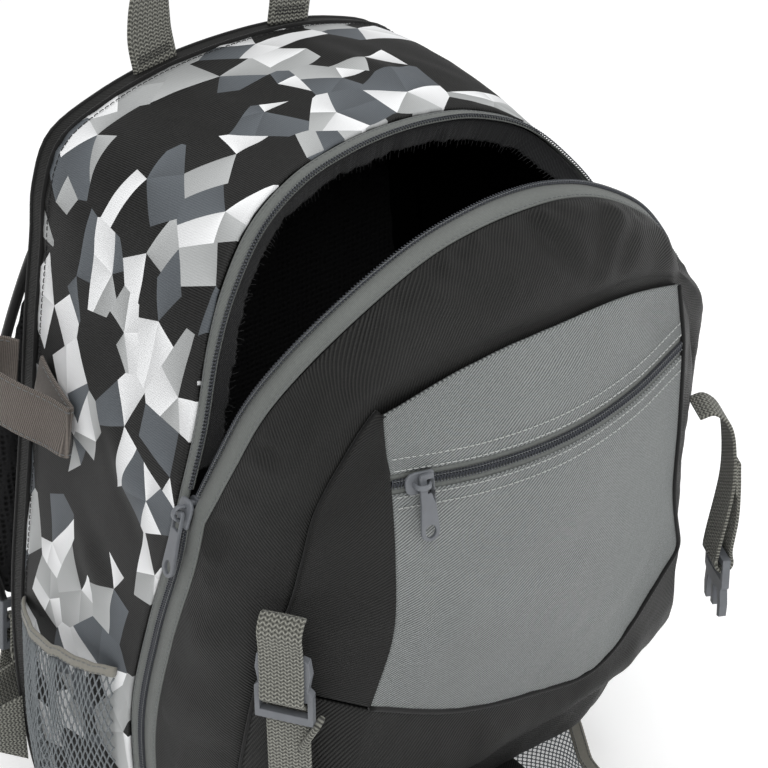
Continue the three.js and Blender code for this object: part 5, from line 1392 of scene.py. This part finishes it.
def build_side_nets():
    for side, name in SIDES:
        def surface(u, v, side=side):
            across = v + 0.018 * np.sin(2 * math.pi * v * 4.2) * np.sin(math.pi * v)
            row = net_top_at(across) + (NET_BOTTOM - net_top_at(across)) * u ** 0.92
            lift = net_lift(row, across, 3 + side)
            return net_point(side, row, across, lift - NET_WALL / 2)

        finish_piece(net_object("net_" + name, net_paths(surface, 30, 28)), ["side_net_" + name])

        a = np.linspace(0, 1, 121)
        row_height = np.linalg.norm(back_seam(5)[0] - back_seam(4)[0])
        top = net_top_at(a)
        low, high = (net_point(side, top + rise / row_height, a, GAP) for rise in (GAP, 6.5 + GAP))
        centre = (low + high) / 2
        width = unit(high - low)
        normal = square_to(outward(on_side(side, top)), width)
        centre = centre - normal * 1.1
        centre[:, 2] += 0.5 * lattice_noise(a * 16, a * 0, 7)
        centre += normal * (0.9 * lattice_noise(a * 9, a * 0 + 1, 8) * np.sin(np.pi * a))[:, None]
        band("net_binding_" + name, centre, width, normal, 6.5, 2.2, BINDING, ["side_binding_" + name])
        edge_stitches("net_binding_stitches_" + name, centre[2:-2], width[2:-2], normal[2:-2], 2.1, 1.15,
                      THREAD_GREY, 2.8)


FLAP_FOLDS = [((-60, -60, 0), (30, -110, 0), 8, 2.6), ((10, -40, 0), (70, -90, 0), 7, 2.2)]
FLAP_TOP = front_point(0, 0.5)[1] - GAP


def flap_y(down):
    return FLAP_TOP - down * FLAP_LENGTH


def flap_edge(down):
    return HALF_WIDTH * np.interp(down, [r[0] for r in FLAP_ROWS], [r[1] for r in FLAP_ROWS])


def build_flap():
    far_half = FLAP_HALF * 0.82
    last = FLAP_ROWS[-1][0]
    centre_end = last - (FLAP_TAPE / 2 + GAP) / FLAP_LENGTH
    a, b = np.linspace(0, 1, 91)[:, None], np.linspace(-1, 1, 81)[None, :]
    down = a * centre_end
    half = FLAP_HALF + (far_half - FLAP_HALF) * a
    p = np.stack(np.broadcast_arrays(b * half, flap_y(down), 1.25 + 0 * a * b), axis=-1).copy()
    loose = np.sin(np.pi * a) ** 0.5 * (1 - np.abs(b) ** 6)
    flat_p = p * np.array([1, 1, 0])
    p[..., 2] += loose * np.maximum(1.6 * rumple(flat_p, 38, 91) + 1.0, 0)
    p[..., 2] += loose * np.maximum(folds(flat_p, FLAP_FOLDS), 0)
    obj = sheet("flap_cloth", p, 1.1, (0, flap_y(0.5), -HEIGHT), [BLACK])
    finish_piece(obj, ["flap_centre"])

    edge = np.array([(HALF_WIDTH * e - FLAP_TAPE / 2, flap_y(d)) for d, e in FLAP_ROWS])
    outline = np.concatenate([edge, edge[::-1] * [-1, 1]])
    outline = resample(np.column_stack([outline, np.full(len(outline), 0.75)]), 2)[0]
    soften(outline, 6)
    tangent = unit(np.gradient(outline, axis=0))
    width = np.stack([-tangent[:, 1], tangent[:, 0], np.zeros(len(tangent))], axis=1)
    normal = np.broadcast_to([0, 0, 1.0], width.shape)
    outline[:, 2] += 0.5 * (1 + lattice_noise(np.arange(len(outline)) * 0.09, np.zeros(len(outline)), 5))
    band("flap_binding", outline, width, normal, FLAP_TAPE, 1.4, BINDING, ["flap_edge_tape"])
    edge_stitches("flap_binding_stitches", outline, width, normal, 2.6, 0.8, THREAD_GREY, 2.6)

    for side, name in SIDES:
        def surface(u, v, side=side):
            d = 0.93 * u
            inner = FLAP_HALF + (far_half - FLAP_HALF) * np.clip(d / centre_end, 0, 1) - 1
            outer = np.maximum(flap_edge(d) - FLAP_TAPE * 0.7, inner + 1)
            z = 0.8 + 1.0 * (1 + lattice_noise(u * 9, v * 3, 17)) * np.sin(math.pi * v) * np.sin(math.pi * u)
            return np.stack([side * (inner + (outer - inner) * v), flap_y(d), z], axis=-1)

        finish_piece(net_object("flap_mesh_" + name, net_paths(surface, 44, 12), 0.8), ["flap_net_" + name])
        middle = side * HALF_WIDTH * 0.43
        tab_top = flap_y(last) - FLAP_TAPE / 2 - GAP
        y = np.linspace(tab_top + 3, tab_top - 12, 14)
        centre = np.column_stack([np.full(14, middle), y, np.full(14, 1.1)])
        width, normal = (np.broadcast_to(v, (14, 3)) for v in ([1.0, 0, 0], [0, 0, 1.0]))
        band("flap_strap_" + name, centre, width, normal, 20, 1.6, WEBBING, ["flap_tab_" + name])


# Moulded parts
PULL_LENGTH, PULL_WIDTH, PULL_THICKNESS = 30.0, 8.5, 1.8
BAR_RADIUS = PULL_THICKNESS * math.sqrt(0.5)
PLATE = 1.6
AXIS_RISE = 2 * GAP + PLATE + math.hypot(BAR_RADIUS, PULL_THICKNESS / 2)
ARCH_INNER, ARCH_BAR, ARCH_WIDE = 2.5, 1.2, 2.4


def plate_mesh(name, outlines, thickness, soft, origin, width, normal, body=BODY):
    """A flat moulded plate with soft edges, from an outline and its holes."""
    curve = bpy.data.curves.new(name, "CURVE")
    curve.dimensions = "2D"
    curve.fill_mode = "BOTH"
    curve.extrude = (thickness / 2 - soft) * MM
    curve.bevel_depth = soft * MM
    curve.bevel_resolution = 2
    curve.offset = -soft * MM
    for outline in outlines:
        line = curve.splines.new("POLY")
        line.points.add(len(outline) - 1)
        for point, (x, y) in zip(line.points, outline):
            point.co = (x * MM, y * MM, 0, 1)
        line.use_cyclic_u = True
    shape = bpy.data.objects.new(name + "_shape", curve)
    bpy.context.scene.collection.objects.link(shape)
    bpy.context.view_layer.update()
    mesh = bpy.data.meshes.new_from_object(shape.evaluated_get(bpy.context.evaluated_depsgraph_get()))
    bpy.data.objects.remove(shape)
    bpy.data.curves.remove(curve)
    obj = bpy.data.objects.new(name, mesh)
    bpy.context.scene.collection.objects.link(obj)
    up = np.cross(normal, width)
    turn = Matrix([[width[k], up[k], normal[k], origin[k] * MM] for k in range(3)] + [[0, 0, 0, 1]])
    mesh.transform(turn)
    mesh.materials.clear()
    mesh.materials.append(PLASTIC)
    edit_mesh(mesh, merge=0.000005, outwards=True)
    even_normals(obj)
    obj["ride"] = body
    return obj


def circle_points(angles, x_radius, y_radius, y):
    return [(x_radius * math.cos(a), y + y_radius * math.sin(a)) for a in angles]


def pull_outlines(eye_offset, eye_width, shift):
    half, neck, top = PULL_WIDTH / 2, PULL_WIDTH * 0.37, BAR_RADIUS
    end = -PULL_LENGTH + half
    outline = [(-neck, top - 0.9), (-neck + 0.9, top), (neck - 0.9, top), (neck, top - 0.9),
               (neck + 0.2, end * 0.5)]
    outline += circle_points(np.linspace(0, -math.pi, 17), half, half, end)
    outline.append((-neck - 0.2, end * 0.5))
    eye_foot = -BAR_RADIUS - (ARCH_INNER + ARCH_BAR + 2.6)
    low, high = eye_offset - eye_width / 2, eye_offset + eye_width / 2
    eye = [(low, -BAR_RADIUS), (low, eye_foot), (high, eye_foot), (high, -BAR_RADIUS)]
    hole = circle_points(np.linspace(0, 2 * math.pi, 20, endpoint=False), half * 0.56, half * 0.72, end + 0.3)
    return [[(x + shift[0], y + shift[1]) for x, y in line] for line in (outline, eye, hole)]


def build_head(name, centre, width, normal, pull_origin, pull_axes, pull_lines, body):
    up = np.cross(normal, width)
    half = SLIDER_LENGTH / 2
    outline = [(3.3, -half), (4.0, -half + 0.8), (4.9, half - 4.6), (4.7, half - 2.2), (3.4, half - 0.5),
               (1.8, half)]
    outline = [(-3.3, -half)] + outline + [(-x, y) for x, y in outline[:0:-1]]
    top = plate_mesh(name + "_slider_top", [outline], PLATE, 0.55, centre + normal * (GAP + PLATE / 2),
                     width, normal)
    under = plate_mesh(name + "_slider_under", [outline], PLATE, 0.5,
                       centre - normal * (CHAIN_HEIGHT + GAP + PLATE / 2), width, normal)
    neck = [(-1.4, 2.6), (1.4, 2.6), (1.4, 5.2), (-1.4, 5.2)]
    post = plate_mesh(name + "_slider_post", [neck], CHAIN_HEIGHT + 2 * GAP + 0.8, 0.2,
                      centre - normal * (CHAIN_HEIGHT / 2), width, normal)
    radius = ARCH_INNER + ARCH_BAR / 2
    foot = GAP + PLATE / 2 - AXIS_RISE
    arc = [(radius, foot), (radius, foot * 0.4)]
    arc += [(radius * math.cos(a), radius * math.sin(a)) for a in np.linspace(0.1, math.pi - 0.1, 17)]
    arc += [(-radius, foot * 0.4), (-radius, foot)]
    path = np.array([centre + up * y + normal * (AXIS_RISE + z) for y, z in arc])
    tangent = unit(np.gradient(path, axis=0))
    side = np.broadcast_to(width, path.shape)
    across = np.cross(tangent, side)
    bow = swept(name + "_slider_bow", path, side, across, band_section(ARCH_WIDE, ARCH_BAR), [PLASTIC])
    for piece in (under, post, bow):
        finish_piece(piece)
    finish_piece(top, [name + "_slider"])
    pull_width, pull_normal = pull_axes
    pull = plate_mesh(name + "_pull_tab", pull_lines, PULL_THICKNESS, 0.4, pull_origin, pull_width,
                      pull_normal, body)
    finish_piece(pull, [name + "_pull"])


def build_heads():
    for side, name in SIDES:
        row = on_side(side, SLIDER_ROW)
        centre, _, normal = (v[0] for v in tape_frames(row, False))
        down = unit(rear_zip(row + 0.2 * side)[0] - centre)
        normal = square_to(normal, down)
        width = np.cross(normal, down)
        build_head(name + "_zip", centre, width, normal, centre + normal * AXIS_RISE, (width, normal),
                   pull_outlines(0, ARCH_WIDE + 2.2, (0, 0)), name + "_pull")
    centre, width, normal = (v[0] for v in face_frames(-0.86))
    run = np.cross(width, normal)
    leg = centre + normal * AXIS_RISE + run * (ARCH_INNER + ARCH_BAR / 2)
    drop = BAR_RADIUS + ARCH_WIDE / 2 + 2 * GAP
    build_head("pocket_zip", centre, width, normal, leg, (run, normal),
               pull_outlines(1.3, ARCH_BAR + 1.4, (-1.3, drop)), "pocket_pull")


def build_hard_parts():
    for node in ("plug_", "adjuster_", "flap_socket_"):
        for _, side_name in SIDES:
            hard_piece(node + side_name)


build_gusset()
build_front()
build_base()
build_back()
build_fastener()
build_facing()
build_pocket_face()
build_pocket_sides()
build_bat_loops()
build_front_straps()
build_shoulders()
build_handle()
build_side_nets()
build_flap()
build_heads()
build_hard_parts()


# Floor, light and camera
def build_stage():
    size, steps, below = 4.0, 9, 0.0002
    mesh = bpy.data.meshes.new("floor")
    verts = [(-size + 2 * size * i / (steps - 1), -size + 2 * size * j / (steps - 1), -below)
             for i in range(steps) for j in range(steps)]
    faces = [(i * steps + j, (i + 1) * steps + j, (i + 1) * steps + j + 1, i * steps + j + 1)
             for i in range(steps - 1) for j in range(steps - 1)]
    mesh.from_pydata(verts, [], faces)
    floor = bpy.data.objects.new("floor", mesh)
    bpy.context.scene.collection.objects.link(floor)
    g = Graph("floor")
    g.surface(Base_Color=(0.95, 0.95, 0.95, 1), Emission_Color=(1, 1, 1, 1), Emission_Strength=0.3,
              Roughness=0.9)
    mesh.materials.append(g.material)

    bpy.context.scene.view_settings.view_transform = "Standard"
    world = bpy.data.worlds.new("studio")
    bpy.context.scene.world = world
    world.use_nodes = True
    background = world.node_tree.nodes["Background"]
    background.inputs["Color"].default_value = (1, 1, 1, 1)
    background.inputs["Strength"].default_value = 0.45
    for name, at, power, wide in (("key", (-0.9, -1.3, 1.9), 19, 1.2), ("fill", (1.5, -1.1, 1.1), 8, 1.4),
                                  ("top", (-0.1, 0.1, 2.1), 13, 1.4)):
        light = bpy.data.lights.new(name, "AREA")
        light.energy = power
        light.size = wide
        lamp = bpy.data.objects.new(name, light)
        bpy.context.scene.collection.objects.link(lamp)
        lamp.location = at
        aim = Vector((0, -0.02, 0.2)) - Vector(at)
        lamp.rotation_euler = aim.to_track_quat("-Z", "Y").to_euler()


def build_camera():
    data = bpy.data.cameras.new("camera")
    data.lens = 108.66
    data.sensor_width = 36
    data.clip_start = 0.05
    camera = bpy.data.objects.new("camera", data)
    bpy.context.scene.collection.objects.link(camera)
    right = Vector((0.75585, -0.65474, 0))
    up = Vector((0.34015, 0.39268, 0.85446))
    back = -Vector((0.55945, 0.64585, -0.51952))
    turn = Matrix((right, up, back)).transposed().to_4x4()
    camera.matrix_world = Matrix.Translation(Vector((-0.5896, -0.7022, 0.8115))) @ turn
    bpy.context.scene.camera = camera


build_stage()
build_camera()
